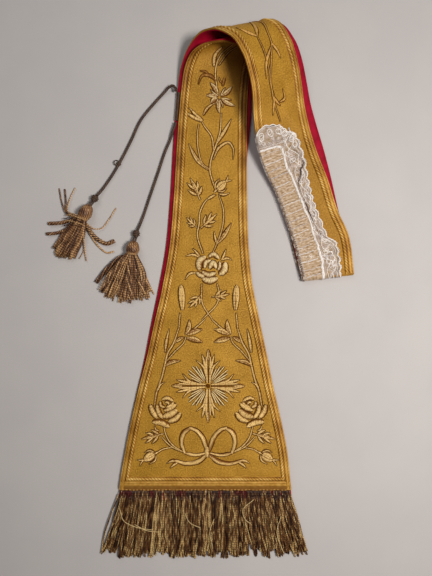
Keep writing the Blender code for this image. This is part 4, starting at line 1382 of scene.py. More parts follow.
# Drawings in millimetres about their own middles. All but the roses point up.
ROSE = drawing(
    ("petal", 4.2, ((-24, 12), (-21, 2), (-14, -8))),
    ("petal", 4.6, ((-21, -13), (-8, -14), (4, -20))),
    ("petal", 3.8, ((-14, 12), (-12, 2), (-6, -8))),
    ("petal", 4.0, ((2, -13), (13, -9), (20, 0))),
    ("petal", 5.0, ((-6, -6), (5, -3), (15, 4))),
    ("petal", 3.6, ((-5, 3), (4, 6), (14, 13))),
    ("petal", 2.6, ((-9, 17), (-8, 10), (-3, 8))),
    ("petal", 2.8, ((-7, 19), (0, 21), (9, 17))),
    ("petal", 2.7, ((10, 16), (6, 11), (-1, 8))),
    ("petal", 2.0, ((-3, 14), (1, 15), (3, 12))),
)
OPEN_ROSE = drawing(
    ("petal", 5.0, ((-13, -15), (-2, -18), (9, -14))),
    ("petal", 3.6, ((-21, -5), (-17, -9), (-10, -12))),
    ("petal", 5.0, ((-17, -3), (-17, 9), (-8, 17))),
    ("petal", 3.6, ((-4, 16), (3, 20), (11, 14))),
    ("petal", 3.8, ((-14, -4), (-4, -9), (7, -6))),
    ("petal", 3.4, ((-10, 0), (-8, 9), (-1, 12))),
    ("petal", 4.0, ((-3, -1), (3, 8), (7, 0))),
    ("petal", 5.2, ((11, -9), (18, -3), (20, 9))),
    ("petal", 2.6, ((9, -3), (12, 3), (12, 10))),
)
BUD = drawing(
    ("blade", 1.5, ((-2, -10), (-8, -5), (-9, 6))),
    ("blade", 1.5, ((2, -10), (8, -5), (9, 4))),
    ("petal", 3.0, ((-2, -8), (-3.4, 0), (-1, 9))),
    ("petal", 3.0, ((2, -8), (3.4, 0), (1, 8))),
    ("petal", 2.2, ((0, -9), (0.4, -2), (0, 6))),
    ("blade", 1.3, ((0, 8), (-1, 13), (-5, 19))),
    ("blade", 1.3, ((0, 8), (2, 13), (5, 18))),
    ("stem", 1.5, ((0, -15), (0, -9))),
)
SLIM_BUD = drawing(
    ("petal", 2.5, ((-0.8, -18), (-2.4, 4), (-1.6, 17))),
    ("petal", 2.5, ((0.8, -18), (2.4, 4), (1.6, 17))),
    ("petal", 2.2, ((0, -6), (0, 6), (0, 19))),
)
SPLIT_BUD = drawing(
    ("petal", 2.7, ((0, -13), (-2, 0), (-3, 12))),
    ("petal", 2.5, ((0, -13), (2, 0), (4, 10))),
    ("blade", 1.3, ((-2, 8), (-3, 12), (-7, 15))),
    ("blade", 1.3, ((3, 7), (5, 11), (5, 15))),
)
LOBED_LEAF = drawing(
    ("stem", 1.0, ((0, -4), (0, 4))),
    ("leaf", 3.0, ((0, 1), (0.5, 14), (0, 30))),
    ("blade", 2.3, ((-1, 4), (-6, 10), (-10, 17))),
    ("blade", 2.3, ((1, 3), (6, 8), (10, 13))),
    ("blade", 2.1, ((-1, 12), (-4, 18), (-7, 26))),
    ("blade", 2.1, ((1, 11), (5, 16), (7, 22))),
)
CROSS_ARM = drawing(
    ("stem", 1.9, ((1.9, 4), (2.6, 18), (3.0, 42))),
    ("stem", 1.9, ((-1.9, 4), (-2.6, 18), (-3.0, 42))),
    ("leaf", 3.2, ((0, 36), (0.3, 43), (0, 53))),
    ("blade", 2.4, ((3.6, 24), (6.5, 36), (9, 46))),
    ("blade", 2.4, ((-3.6, 24), (-6.5, 36), (-9, 46))),
    ("blade", 2.1, ((3, 12), (7, 27), (17.5, 37))),
    ("blade", 2.1, ((-3, 12), (-7, 27), (-17.5, 37))),
)
CROSS = (-28.6, -143.6)
RAYS = table(
    "angle start end",
    (-20, 10, 27),
    (-13, 9, 33),
    (-5.5, 9, 36),
    (5.5, 9, 36),
    (13, 9, 33),
    (20, 10, 27),
)
RAY_HALF = 1.0
BOSS_RADIUS = 2.9
BOSS_CORD = 0.5

# The lower part of the arm, from its middle line outwards.
LOWER_AXIS = -28.6
LOWER_DESIGN = drawing(
    ("stem", 1.2, ((37, -238), (47, -232), (58, -220), (63, -206), (64, -200))),
    ("stem", 1.1, ((36, -239), (54, -230), (67, -217))),
    ("stem", 1.1, ((52, -232), (66, -235), (75, -241))),
    ("blade", 1.5, ((70, -208), (75, -206), (77, -200))),
    ("stem", 1.7, ((77, -172), (74, -154), (66, -130), (62, -113), (58, -97), (50, -83), (42, -60))),
    ("stem", 1.1, ((60, -108), (48, -94), (34, -79), (32, -72))),
    ("blade", 1.9, ((73, -151), (69, -142), (62, -138))),
    ("leaf", 3.2, ((64, -116), (55, -110), (39, -107))),
    ("blade", 2.6, ((62, -96), (60, -81), (56, -61))),
    ("leaf", 3.8, ((33, -70), (28, -60), (27, -48))),
    ("leaf", 4.6, ((31, -70), (20, -65), (8, -62))),
    ("leaf", 4.4, ((32, -75), (20, -77), (8, -81))),
    ("leaf", 3.0, ((35, -73), (41, -76), (49, -82))),
    ("stem", 1.1, ((30, -69), (16, -58), (4, -47))),
    ("stem", 1.1, ((42, -61), (41, -48), (40, -38))),
    ("ribbon", 3.5, ((2, -236), (8, -218), (18, -207), (27, -203.5))),
    ("ribbon", 3.5, ((25, -203.5), (35, -211), (38.5, -226), (34, -240))),
    ("ribbon", 2.4, ((34, -240), (18, -243), (3, -240))),
    ("ribbon", 3.4, ((2, -243), (14, -252), (32, -255), (47, -251))),
    ("blade", 2.0, ((44, -251), (52, -251), (60, -255))),
    ("blade", 2.0, ((43, -253), (50, -257), (55, -262))),
)
KNOT = Stitch("petal", 4.4, ((-30, -246), (-30, -239), (-30, -231)))

# The middle and the upper part, at their own places.
UPPER_DESIGN = drawing(
    ("stem", 1.2, ((-38, 4), (-37, -25), (-22, -49))),
    ("stem", 1.2, ((-16, 4), (-13, -11), (-15, -23), (-31, -42), (-38, -49))),
    ("blade", 2.0, ((-41, 41), (-50, 45), (-61, 43))),
    ("blade", 2.0, ((-40, 42), (-46, 49), (-51, 54))),
    ("blade", 2.0, ((-10, 37), (-6, 45), (-3, 53))),
    ("blade", 2.0, ((-10, 37), (-2, 40), (6, 37))),
    ("blade", 2.0, ((-45, 19), (-55, 18), (-62, 9))),
    ("stem", 1.3, ((-36, 46), (-44, 77), (-42, 87), (-40, 107), (-33, 121), (-20, 132))),
    ("stem", 1.2, ((-22, 47), (-16, 61), (-8, 85), (-7, 111), (-13, 130))),
    ("leaf", 3.4, ((-16, 60), (-6, 73), (5, 91))),
    ("blade", 1.9, ((-17, 61), (-19, 70), (-20, 79))),
    ("blade", 2.2, ((-30, 124), (-24, 128), (-17, 131))),
    ("blade", 2.0, ((-14, 132), (-5, 131), (3, 134))),
    ("stem", 1.3, ((-18, 138), (-24, 155), (-26, 163), (-25, 180), (-18, 201), (-12, 220), (-10, 249))),
    ("stem", 1.1, ((-25, 166), (-37, 176), (-43, 196), (-44, 220), (-42, 233))),
    ("stem", 1.2, ((-21, 195), (-24, 215), (-33, 228), (-38, 236))),
    ("blade", 2.2, ((-22, 181), (-12, 200), (1, 206), (7, 198), (7, 181))),
    ("leaf", 3.1, ((-28, 166), (-44, 181), (-57, 205))),
    ("leaf", 2.9, ((-17, 203), (-6, 221), (5, 240))),
    ("blade", 2.2, ((-36, 245), (-29, 256), (-17, 264))),
)
# Stitches up by the curl, which are painted darker: painted shade.
SHADED_DESIGN = drawing(
    ("blade", 2.4, ((-16, 292), (-26, 300), (-37, 300), (-43, 288))),
    ("blade", 1.6, ((-27, 299), (-33, 305), (-41, 306))),
    ("petal", 1.9, ((-8, 286), (-7, 291), (-5, 298))),
    ("blade", 1.3, ((-9, 290), (-12, 294), (-13, 299))),
)
FLOWERS = table(
    "drawing x y size heading flip",
    (ROSE, -88, -182, 1.0, 90, False),
    (ROSE, 30.8, -182, 1.0, 90, True),
    (OPEN_ROSE, -24.2, 25.4, 1.0, 90, False),
    (BUD, -113, -245.5, 1.0, 209, False),
    (BUD, 55.8, -245.5, 1.0, 331, True),
    (SLIM_BUD, 11.3, -17, 1.0, 87, False),
    (SLIM_BUD, -66.7, -17, 1.0, 93, False),
    (BUD, -10, 144, 0.95, 42, False),
    (SPLIT_BUD, -47, 243.5, 1.0, 147, False),
    (LOBED_LEAF, -96, -213, 1.0, 194, False),
    (LOBED_LEAF, 38.8, -213, 1.0, 346, True),
    (LOBED_LEAF, -41.5, 127, 1.05, 115, False),
    (LOBED_LEAF, -37, 85, 0.95, 42, False),
    (LOBED_LEAF, -46, 85, 0.65, 137, True),
    (LOBED_LEAF, -21, -15.5, 0.8, 10, False),
    (LOBED_LEAF, -40, -14, 0.8, 227, True),
)
LILY = (-12.5, 270.5)
LILY_PETALS = table(
    "heading length",
    (123, 25),
    (41, 24),
    (172, 19),
    (332, 26),
    (270, 22),
    (212, 15),
)

# Up inside the curl, on the ply beneath: lateral first, then the distance along the course.
INNER_DESIGN = drawing(
    ("stem", 1.2, ((3, 592), (-3, 618), (-3, 636), (4, 652), (14, 668))),
    ("stem", 1.2, ((0, 624), (10, 646), (24, 658))),
    ("petal", 2.8, ((-6, 622), (-10, 638), (-8, 652))),
    ("blade", 1.6, ((14, 662), (20, 676), (30, 684))),
)

# On the outer curl and the right-hand arm: lateral first, then the distance along the course.
NECK_DESIGN = drawing(
    (
        "stem",
        1.1,
        (
            (6, 640), (14, 672), (20, 698), (11, 719), (8, 733),
            (-1, 749), (-10, 774), (-10, 796), (-5, 815), (-1, 832),
        ),
    ),
    ("blade", 2.4, ((-9, 720), (-17, 712), (-23, 699))),
    ("blade", 2.4, ((-9, 720), (0, 708), (9, 692))),
    ("stem", 0.9, ((-9, 720), (-10, 742), (-10, 762), (-12, 778), (-6, 802))),
    ("blade", 2.2, ((8, 732), (12, 742), (14, 754))),
    ("blade", 2.2, ((4, 737), (-12, 754), (-18, 773))),
    ("blade", 1.9, ((-10, 796), (-4, 804), (2, 811))),
    ("blade", 2.0, ((0, 806), (9, 803), (8, 790))),
    ("blade", 1.8, ((-8, 800), (-9, 809), (-12, 821))),
    ("blade", 2.3, ((14, 672), (22, 664), (27, 652))),
    ("blade", 2.3, ((12, 660), (2, 654), (-6, 642))),
)


def stitched(name, chart, stitches, material, rng, replaces=(), bright=0.0, more=None):
    """One piece of embroidery, from its stitches and what more adds to it."""
    form = Form()
    for stitch in stitches:
        add_stitch(form, chart, stitch, rng, bright)
    if more:
        more(form)
    return form.piece(name, [material, OUTLINE], "gold_thread", replaces)


def cross_rays():
    for quarter in range(4):
        for ray in RAYS:
            ahead = directions(45 + 90 * quarter + ray.angle)[0][:2]
            yield Stitch("ray", RAY_HALF, [CROSS + ahead * ray.start, CROSS + ahead * ray.end])


def add_boss(form):
    """The cord coiled up at the cross's middle."""
    turn = np.linspace(0, 7 * math.pi, 90)
    share = turn / turn[-1]
    reach = BOSS_RADIUS * share
    flat = np.stack([CROSS[0] + reach * np.cos(turn), CROSS[1] + reach * np.sin(turn)], axis=1)
    add_tube(form, on_arm(flat, 2.6 - 1.6 * share**2), BOSS_CORD, 6, 1, 0.25)


def lily_stitches():
    for petal in LILY_PETALS:
        shapes = drawing(
            ("leaf", 3.6, ((0, 3), (1.5, 0.5 * petal.length), (0, petal.length))),
            ("blade", 1.2, ((0, 2), (-3.5, 0.4 * petal.length), (-5, 0.66 * petal.length))),
        )
        yield from turned(shapes, LILY, 1.0, petal.heading)


def flower_stitches(open_roses):
    """The stitches of the open rose, or else those of every other flower."""
    for flower in FLOWERS:
        if (flower.drawing is OPEN_ROSE) == open_roses:
            place = (flower.x, flower.y)
            yield from turned(flower.drawing, place, flower.size, flower.heading, flower.flip)


def add_embroidery():
    rng = np.random.default_rng(4)
    arms = [stitch for quarter in range(4) for stitch in turned(CROSS_ARM, CROSS, 1.0, 90 * quarter)]
    lower = both_sides(LOWER_DESIGN, LOWER_AXIS) + [KNOT]
    buds = ["bud_low_left", "bud_low_right", "bud_upright_left", "bud_upright_right"]
    replaced = buds + ["bud_middle", "bud_high", "rose_left", "rose_right"]
    stitched("cross_rays", on_arm, cross_rays(), RAY, rng)
    stitched("cross_stitches", on_arm, arms, THREAD, rng, ["cross"], 0.06, add_boss)
    stitched("lower_stitches", on_arm, lower, THREAD, rng, ["bow", "leaf_left", "leaf_right"])
    stitched("upper_stitches", on_arm, UPPER_DESIGN, THREAD, rng)
    # the shaded stitches take the dull thread and are painted darker still: painted shade
    stitched("shaded_stitches", on_arm, SHADED_DESIGN, THREAD_DULL, rng, (), -0.3)
    stitched("lily_stitches", on_arm, lily_stitches(), THREAD_PALE, rng, ["lily"], -0.04)
    stitched("rose_stitches", on_arm, flower_stitches(True), THREAD_PALE, rng, ["rose_middle"])
    stitched("flower_stitches", on_arm, flower_stitches(False), THREAD, rng, replaced)
    stitched("neck_stitches", on_neck_half, NECK_DESIGN, THREAD_DULL, rng)
    stitched("inner_stitches", on_inner_curl, INNER_DESIGN, THREAD, rng)


# ---------------------------------------------------------------- fringe

# side is the way that the fringe's ply is shifted on the course.
FRINGES = table(
    "name hem side root_z tip_z root_radius length spread strands",
    ("lower", 0.0, -1, 1.5, 1.4, 2.2, 85.0, 25.0, 190),
    ("upper", UPPER_HEM, 1, 4.6, 4.1, 1.2, 99.0, 26.0, 300),
)
FRINGE_INSET = 2.2  # from the hem's corners
STRAND_RINGS = 13
STRAND_RADIUS = 0.62
STRAND_Z = (0.75, 6.2)
LOCK_OF = 7  # strands
LOCK_GATHER = 0.65  # how far a strand's tip is drawn to its lock's middle
SPREAD_FROM = 1.3  # the higher, the later along its length the fringe spreads
GATHER_FROM = 1.4
ROOT_PAINTED_SHADE = 0.3  # how much darker a strand is painted at its root under the hem (painted shade), and over what share of its length
ROOT_SHARE = 0.22
# The stretches across the hem where the red silk's threads show among the roots.
RED_ROOTS = ((-0.98, -0.86), (-0.66, -0.6), (-0.34, -0.22), (0.16, 0.2), (0.36, 0.5), (0.78, 0.82))
RED_STEP = 0.016
RED_RADIUS = 0.45
RED_RISE = 1.9


def add_strands(form, fringe, centre, half, top, rng):
    """Looped strands of twisted bullion, gathered in uneven locks."""
    count = fringe.strands // LOCK_OF
    locks = np.linspace(-1, 1, count) + rng.normal(0, 0.012, count)
    lock_length = rng.uniform(0.86, 1.0, count)
    lock_shade = rng.uniform(-0.2, 0.16, count)
    t = np.linspace(0, 1, STRAND_RINGS)
    share = np.concatenate([t, [1.0], t[::-1][: STRAND_RINGS - 1]])
    for strand in range(fringe.strands):
        v = 2 * (strand + 0.5) / fringe.strands - 1 + rng.normal(0, 0.5) / fringe.strands
        lock = int(np.argmin(abs(locks - v - rng.normal(0, 0.012))))
        end = v * (1 - LOCK_GATHER) + locks[lock] * LOCK_GATHER
        length = fringe.length * lock_length[lock] * (1 - 0.05 * rng.random() ** 2)
        wander = np.cumsum(rng.normal(0, 0.5, STRAND_RINGS)) * t
        bend = rng.normal(0, 2.2) * np.sin(math.pi * t)
        x = centre + (v + (end - v) * t**GATHER_FROM) * half
        x = x + fringe.spread * v * abs(v) * t**SPREAD_FROM + wander + bend
        z = fringe.root_z + (fringe.tip_z - fringe.root_z) * t
        z = z + rng.normal(0, 0.5 * fringe.root_radius) * np.minimum(1, 6 * t)
        path = np.stack([x, top - length * t, np.clip(z, *STRAND_Z)], axis=1)
        across = rng.uniform(0.8, 1.5) * rng.choice((-1, 1))
        back = path[::-1] + (across, 0, rng.uniform(-0.3, 0.3))
        bight = path[-1] + (across / 2, -abs(across) * 0.6, 0)
        path = np.concatenate([path, [bight], back[: STRAND_RINGS - 1]])
        path[:, 2] = np.clip(path[:, 2], *STRAND_Z)
        glints = rng.uniform(-0.35, 0.25, len(path)) + 0.3 * (rng.random(len(path)) > 0.8)
        shade = lock_shade[lock] + glints + rng.uniform(-0.12, 0.12)
        shade = shade - ROOT_PAINTED_SHADE * np.clip(1 - share / ROOT_SHARE, 0, 1)
        add_tube(form, (path + PLACE) * MM, STRAND_RADIUS, 4, 0, np.repeat(shade, 4))


def add_red_roots(form, fringe, centre, half, top, rng):
    z = min(fringe.root_z + RED_RISE, 6.6)
    for start, end in RED_ROOTS:
        for v in np.arange(start, end, RED_STEP):
            x = centre + (v + rng.normal(0, 0.004)) * half
            length = rng.uniform(5, 13)
            points = [(x, top - CLEAR, z), (x + 0.5, top - length / 2, z - 0.2), (x, top - length, z - 0.9)]
            path = (np.array(points) + PLACE) * MM
            add_tube(form, path, RED_RADIUS, 4, 1, rng.uniform(-0.2, 0.3))


# Single threads that have come loose over the fringes: x, y and z along each.
STRAY_THREADS = (
    ((-156, -318, 7.0), (-150, -336, 7.6), (-131, -346, 7.4), (-108, -350, 7.0)),
    ((-134, -342, 7.2), (-118, -350, 7.8), (-100, -353, 7.2)),
    ((-62, -326, 7.2), (-56, -338, 7.6), (-40, -347, 7.0)),
    ((37, -306, 7.2), (21, -322, 7.6), (24, -334, 7.6), (32, -341, 7.0)),
    ((-20, -334, 7.2), (-26, -350, 7.6), (-22, -376, 7.2)),
    ((76, -330, 7.2), (70, -352, 7.8), (80, -384, 7.0)),
    ((96, -362, 5.0), (108, -372, 3.0), (114, -384, 1.4)),
)
STRAY_RADIUS = 0.5


def add_fringes():
    rng = np.random.default_rng(33)
    for fringe in FRINGES:
        centre = np.interp(fringe.hem, FINE, COURSE["x"]) + fringe.side * COURSE["shift"][0] / 2
        half = half_width(fringe.hem) - FRINGE_INSET
        top = np.interp(fringe.hem, FINE, COURSE["y"]) - CLEAR
        form = Form()
        add_strands(form, fringe, centre, half, top, rng)
        add_red_roots(form, fringe, centre, half, top, rng)
        name = "fringe_" + fringe.name
        form.piece(name, [BULLION, ROOT_RED], "bullion", [name])
    form = Form()
    for points in STRAY_THREADS:
        add_tube(form, (smooth_line(points, 26) + PLACE) * MM, STRAY_RADIUS, 5, 0, 0.2)
    form.piece("fringe_stray_threads", [THREAD_PALE], "bullion")


# ---------------------------------------------------------------- the lace guard

LACE_ROWS = table(
    "from_neck width band",
    (0.0, 54.0, 29.0),
    (20.0, 57.0, 31.0),
    (42.0, 58.0, 29.5),
    (56.0, 47.0, 29.0),
    (80.0, 46.0, 29.5),
    (110.0, 45.0, 30.0),
    (140.0, 49.0, 29.0),
    (168.0, 58.0, 29.5),
    (197.0, 60.0, 33.5),
    (206.0, 58.0, 36.0),
    (224.0, 45.0, 38.0),
)
LACE_TOP = 224.0
BAND_START = 27.0  # from the lace's top edge
LACE_UNDER = 150.0
LACE_RUN = LACE_TOP + LACE_UNDER
NET_HEIGHT = 1.1  # heights are over the cloth's gold side
NET_BASE = 0.6
NET_UNDERSIDE = 0.45
BAND_HEIGHT = 1.6
BAND_UNDERSIDE = 0.75
NET_PITCH = 2.4
NET_RADIUS = 0.2
NET_OUT = 1.96  # how far across the net ground reaches
RIB_PITCH = 4.4
RIB_HEIGHT = 0.28
BAR_SLOPE = -3.0  # how far along the run a bar or a rib moves from left to right
BAR_ROOM = 6.0  # at each end of the band
BAR_POINTS = 16
BAR_SPACING = (9.0, 15.0)
SCALLOP = 13.0
SCALLOP_DEPTH = 2.8
# How far the top edge lies below its plain line, at each share across.
TOP_EDGE = table(
    "across below",
    (0.0, 5.0),
    (0.15, 0.5),
    (0.3, -4.0),
    (0.5, -4.2),
    (0.8, -2.5),
    (1.0, 0.0),
    (1.3, 3.0),
    (1.6, 7.0),
    (2.0, 16.0),
)
TOP_SCALLOPS = 7
TOP_SCALLOP_DEPTH = 2.2

# The fold in the border, by its distance from the top edge and its share across.
LACE_CREASE = table(
    "run across",
    (30, 1.5),
    (47, 1.85),
    (60, 1.88),
    (73, 1.6),
    (87, 1.22),
    (100, 1.16),
    (122, 1.28),
    (137, 1.3),
    (153, 1.4),
    (162, 1.55),
    (172, 1.95),
)
CREASE_HALF = 0.05
CREASE_PAINTED_SHADE = 1.1
LACE_TEXTURE = 32.0  # texture millimetres to each share across


def lace_place(run, across, height):
    """Points on the lace. run is millimetres from its top edge, over the neck fold and beneath.

    across is a share: 0 at the strip's left edge, 1 at the inner band, 2 at the outer edge.
    """
    run, across, height = np.broadcast_arrays(run, across, height)
    over = LACE_TOP - run
    near = abs(over)
    along = NECK - near
    width, band = (
        np.interp(near, column(LACE_ROWS, "from_neck"), column(LACE_ROWS, name))
        for name in ("width", "band")
    )
    wave = abs(np.sin(math.pi * run / SCALLOP + 0.8 * np.sin(run / 17))) - 0.8
    border = width - band + SCALLOP_DEPTH * wave
    inset = np.where(across <= 1, across * band, band + (across - 1) * border)
    lateral = -half_width(along) - CLEAR + inset
    rounded = np.clip(1 - near / 3.0, 0, 1)
    fold = np.where(over >= 0, rounded * 0.5, 1 - rounded * 0.5)
    height = height * np.interp(over, (-8, 0), (PRESSED, 1.0))
    return surface(along, fold, lateral, CLOTH_TOP + height)


def top_edge(across):
    """Where the scalloped top edge runs, in millimetres below the plain line."""
    below = np.interp(across, *zip(*TOP_EDGE))
    return below + TOP_SCALLOP_DEPTH * (1 - abs(np.sin(math.pi * TOP_SCALLOPS * across / 2)))


def lace_crease(run, across):
    """How deep in the border's fold a place lies, from 0 to 1."""
    middle = np.interp(run, *zip(*LACE_CREASE))
    within = (run > LACE_CREASE[0].run) & (run < LACE_CREASE[-1].run)
    return np.exp(-(((across - middle) / CREASE_HALF) ** 2)) * within * (0.6 + 0.4 * np.sin(run / 9))


def lace_line(form, run, across, height, radius, shade=0.0, sides=4):
    """A thread along the lace, pressed into its fold and kept above the floor."""
    run, across = np.broadcast_arrays(np.asarray(run, float), np.asarray(across, float))
    path = lace_place(run, across, height)
    path[:, 2] = np.maximum(path[:, 2], radius * MM)
    up = unit(lace_place(run, across, height + 1.0) - path)
    # threads in the border's fold are painted darker: painted shade
    if height < BAND_HEIGHT:
        shade = np.repeat(shade - CREASE_PAINTED_SHADE * lace_crease(run, across), sides)
    add_tube(form, path, radius, sides, 0, shade, up=up)


def lace_sheet(name, material, run, share, top, bottom, tone, replaces=()):
    """A thin closed piece of the lace, from the points of its two faces."""
    tone = np.concatenate([tone, 0 * tone], axis=1)
    u = np.concatenate([share, share[:, ::-1], share[:, :1]], axis=1) * LACE_TEXTURE
    form = Form()
    form.add_closed(np.concatenate([top, bottom], axis=1), u, run, 0, tone)
    return form.piece(name, [material], "lace", replaces)


def add_lace_net():
    """The net ground of the whole guard: its top edge follows the scallops."""
    share = np.linspace(0, NET_OUT, 60)[None]
    first = top_edge(share) + 0.4
    run = first + (LACE_RUN - first) * np.linspace(0, 1, 340)[:, None]
    share = np.broadcast_to(share, run.shape)
    crease = lace_crease(run, share)
    border = np.clip((share - 1.05) * 5, 0, 1)
    puckers = 0.35 * np.sin(run / 3.1 + 5 * share) * np.sin(run / 9 + 2) * border - 0.5 * crease
    edge = np.clip(np.minimum(share, NET_OUT - share) * 12, 0, 1)
    top = lace_place(run, share, NET_BASE + (NET_HEIGHT - NET_BASE + puckers) * edge)
    bottom = lace_place(run[:, ::-1], share[:, ::-1], NET_UNDERSIDE)
    walked = np.concatenate([run, run[:, ::-1], run[:, :1]], axis=1)
    # the fold's depth goes on as the net's painted shade
    return lace_sheet("lace_net", LACE_NET, walked, share, top, bottom, crease, ["lace_guard"])


def add_lace_band():
    """The ribbed insertion."""
    run = np.arange(BAND_START, LACE_RUN, 0.9)[:, None]
    share = np.linspace(0, 1, 16)[None]
    slope = BAR_SLOPE * (0.5 - share)
    rib = np.cos(math.tau * (run + slope + 0.8 * np.sin(run / 13)) / RIB_PITCH)
    rib = rib * (0.6 + 0.4 * np.sin(run / 5.7 + 4 * share))
    side = np.sin(math.pi * np.clip(share, 0.04, 0.96)) ** 0.3
    top = lace_place(run, share, BAND_HEIGHT + RIB_HEIGHT * rib * side)
    bottom = lace_place(run, share[:, ::-1], BAND_UNDERSIDE)
    return lace_sheet("lace_band", LACE_GROUND, run, share, top, bottom, 0.16 * rib)


def add_lace_loop(form, run, across, size, turn, radius, shade):
    """A worked loop of the border: an uneven ring of cord."""
    angle = np.linspace(0, math.tau, 13) + turn
    reach = size * (1 + 0.25 * np.sin(2 * angle + turn))
    share = across + reach * np.cos(angle) / (22.0 if across > 1 else 34.0)
    lace_line(form, run + reach * np.sin(angle), share, NET_HEIGHT + 0.35, radius, shade)


# The cords of the bead line, the plain cords along the border and those that wander down it.
BEAD_CORDS = table("offset thick tone", (0.0, 1.05, 0.45), (-0.05, 0.7, 0.3), (0.04, 0.5, 0.2))
HEADING_CORDS = table("above thick tone", (3.0, 0.5, 0.2), (5.5, 0.35, 0.0))
BORDER_CORDS = table("across radius tone", (1.99, 0.65, 0.45), (1.82, 0.45, 0.3), (1.14, 0.4, 0.1))
WANDERING_CORDS = table("phase radius tone", (0.0, 0.55, 0.4), (2.1, 0.42, 0.1), (4.0, 0.5, 0.35))


def add_bead_line(form, rng):
    """The pale line round the band: down its outer side, and across its top with a rounded corner."""
    across = np.concatenate([np.linspace(0.0, 0.8, 18), [0.9, 0.97, 1.0]])
    corner = np.concatenate([np.zeros(18), [0.8, 3.0, 6.5]])
    run = np.arange(BAND_START + 9.0, LACE_RUN, 1.7)
    drift = np.cumsum(rng.normal(0, 0.011, len(run)))
    drift = drift - np.linspace(drift[0], drift[-1], len(run))
    across = np.concatenate([across, 1.0 + drift + rng.normal(0, 0.01, len(run))])
    run = np.concatenate([BAND_START + corner + rng.normal(0, 0.4, len(corner)), run])
    swell = np.interp(run, (170, 210, LACE_TOP, LACE_TOP + 8), (1.0, 1.5, 1.5, 0.55))
    for cord in BEAD_CORDS:
        radius = cord.thick * (0.5 + 0.8 * rng.random(len(run))) * swell
        place = (run - 18 * cord.offset, across + cord.offset)
        lace_line(form, *place, BAND_HEIGHT + 0.35, radius, cord.tone, 6)
    across = np.linspace(0.0, 1.0, 22)
    for cord in HEADING_CORDS:
        run = BAND_START - cord.above + rng.normal(0, 0.5, len(across))
        lace_line(form, run, across, NET_HEIGHT + 0.5, cord.thick, cord.tone, 5)


def add_border_cords(form, rng):
    run = np.arange(14.0, LACE_RUN, 1.5)
    for cord in BORDER_CORDS:
        kept = (run > BAND_START + 8) | (cord.across > 1.5)
        uneven = cord.across + 0.02 * np.sin(run / 5.3 + 9 * cord.across)
        uneven = uneven + rng.normal(0, 0.006, len(run))
        lace_line(form, run[kept], uneven[kept], NET_HEIGHT + 0.2, cord.radius, cord.tone, 5)
    for cord in WANDERING_CORDS:
        drift = 1.5 + 0.26 * np.sin(run / 7.5 + cord.phase + 1.3 * np.sin(run / 31))
        drift = drift + rng.normal(0, 0.012, len(run))
        lace_line(form, run, drift, NET_HEIGHT + 0.25, cord.radius, cord.tone, 5)


def add_bars(form, rng):
    """The uneven bars across the band."""
    at = BAND_START + BAR_ROOM
    while at < LACE_RUN - BAR_ROOM:
        across = np.linspace(0.02, rng.uniform(0.75, 0.97), BAR_POINTS)
        wobble = 0.35 * np.sin(rng.uniform(7, 12) * across + at)
        run = at + BAR_SLOPE * (across - 0.5) + (wobble + rng.normal(0, 0.15, BAR_POINTS))
        radius = rng.uniform(0.55, 1.0) * rng.uniform(0.7, 1.2, BAR_POINTS)
        lace_line(form, run, across, BAND_HEIGHT + 0.4, radius, rng.uniform(0.0, 0.3), 5)
        at += rng.uniform(*BAR_SPACING)


def add_net_threads(form, starts, across, width, end):
    """Threads that cross both ways over a stretch of the net, and stop at its edges."""
    for start in starts:
        for heading in (-1, 1):
            run = start + heading * (across - (across[0] + across[-1]) / 2) * width
            kept = (run > top_edge(across) + 1) & (run < end)
            if kept.sum() > 3:
                lace_line(form, run[kept], across[kept], NET_HEIGHT + 0.05, NET_RADIUS, 0.0, 3)


LOOP_PITCH = 3.4
TOP_MOTIFS = 5
NET_LOOPS = 30
BAND_LOOPS = 26


def drawn(rng, *ranges):
    """One even draw from each range, in their order."""
    return [rng.uniform(low, high) for low, high in ranges]


def add_loops(form, rng):
    """The worked figures: down the border, across the top, and scattered on the net and the band."""
    for at in np.arange(24.0, LACE_RUN - 4, LOOP_PITCH):
        add_lace_loop(form, at, *drawn(rng, (1.2, 1.84), (1.3, 3.2), (0, 6), (0.4, 0.65), (0.0, 0.5)))
    for motif in range(TOP_MOTIFS):
        across = (motif + 0.5) * 1.9 / TOP_MOTIFS
        at = top_edge(np.array([across]))[0] + 9.5 + rng.uniform(-1, 1)
        for size, thick in ((4.3, 0.62), (2.3, 0.45)):
            add_lace_loop(form, at, across, size, motif * 1.3 + size, thick, 0.45)
    for loop in range(NET_LOOPS):
        across, at = drawn(rng, (0.04, 1.3), (14.0, BAND_START - 4))
        size, turn, tone = drawn(rng, (1.0, 2.2), (0, 6), (-0.1, 0.4))
        add_lace_loop(form, at, across, size, turn, 0.4, tone)
    for loop in range(BAND_LOOPS):
        at, across = drawn(rng, (150.0, LACE_RUN), (0.15, 0.9))
        size, turn, tone = drawn(rng, (1.0, 2.2), (0, 6), (0.2, 0.5))
        add_lace_loop(form, at, across, size, turn, 0.4, tone)


PICOT_PITCH = 3.1
BLOBS_FROM = 70.0


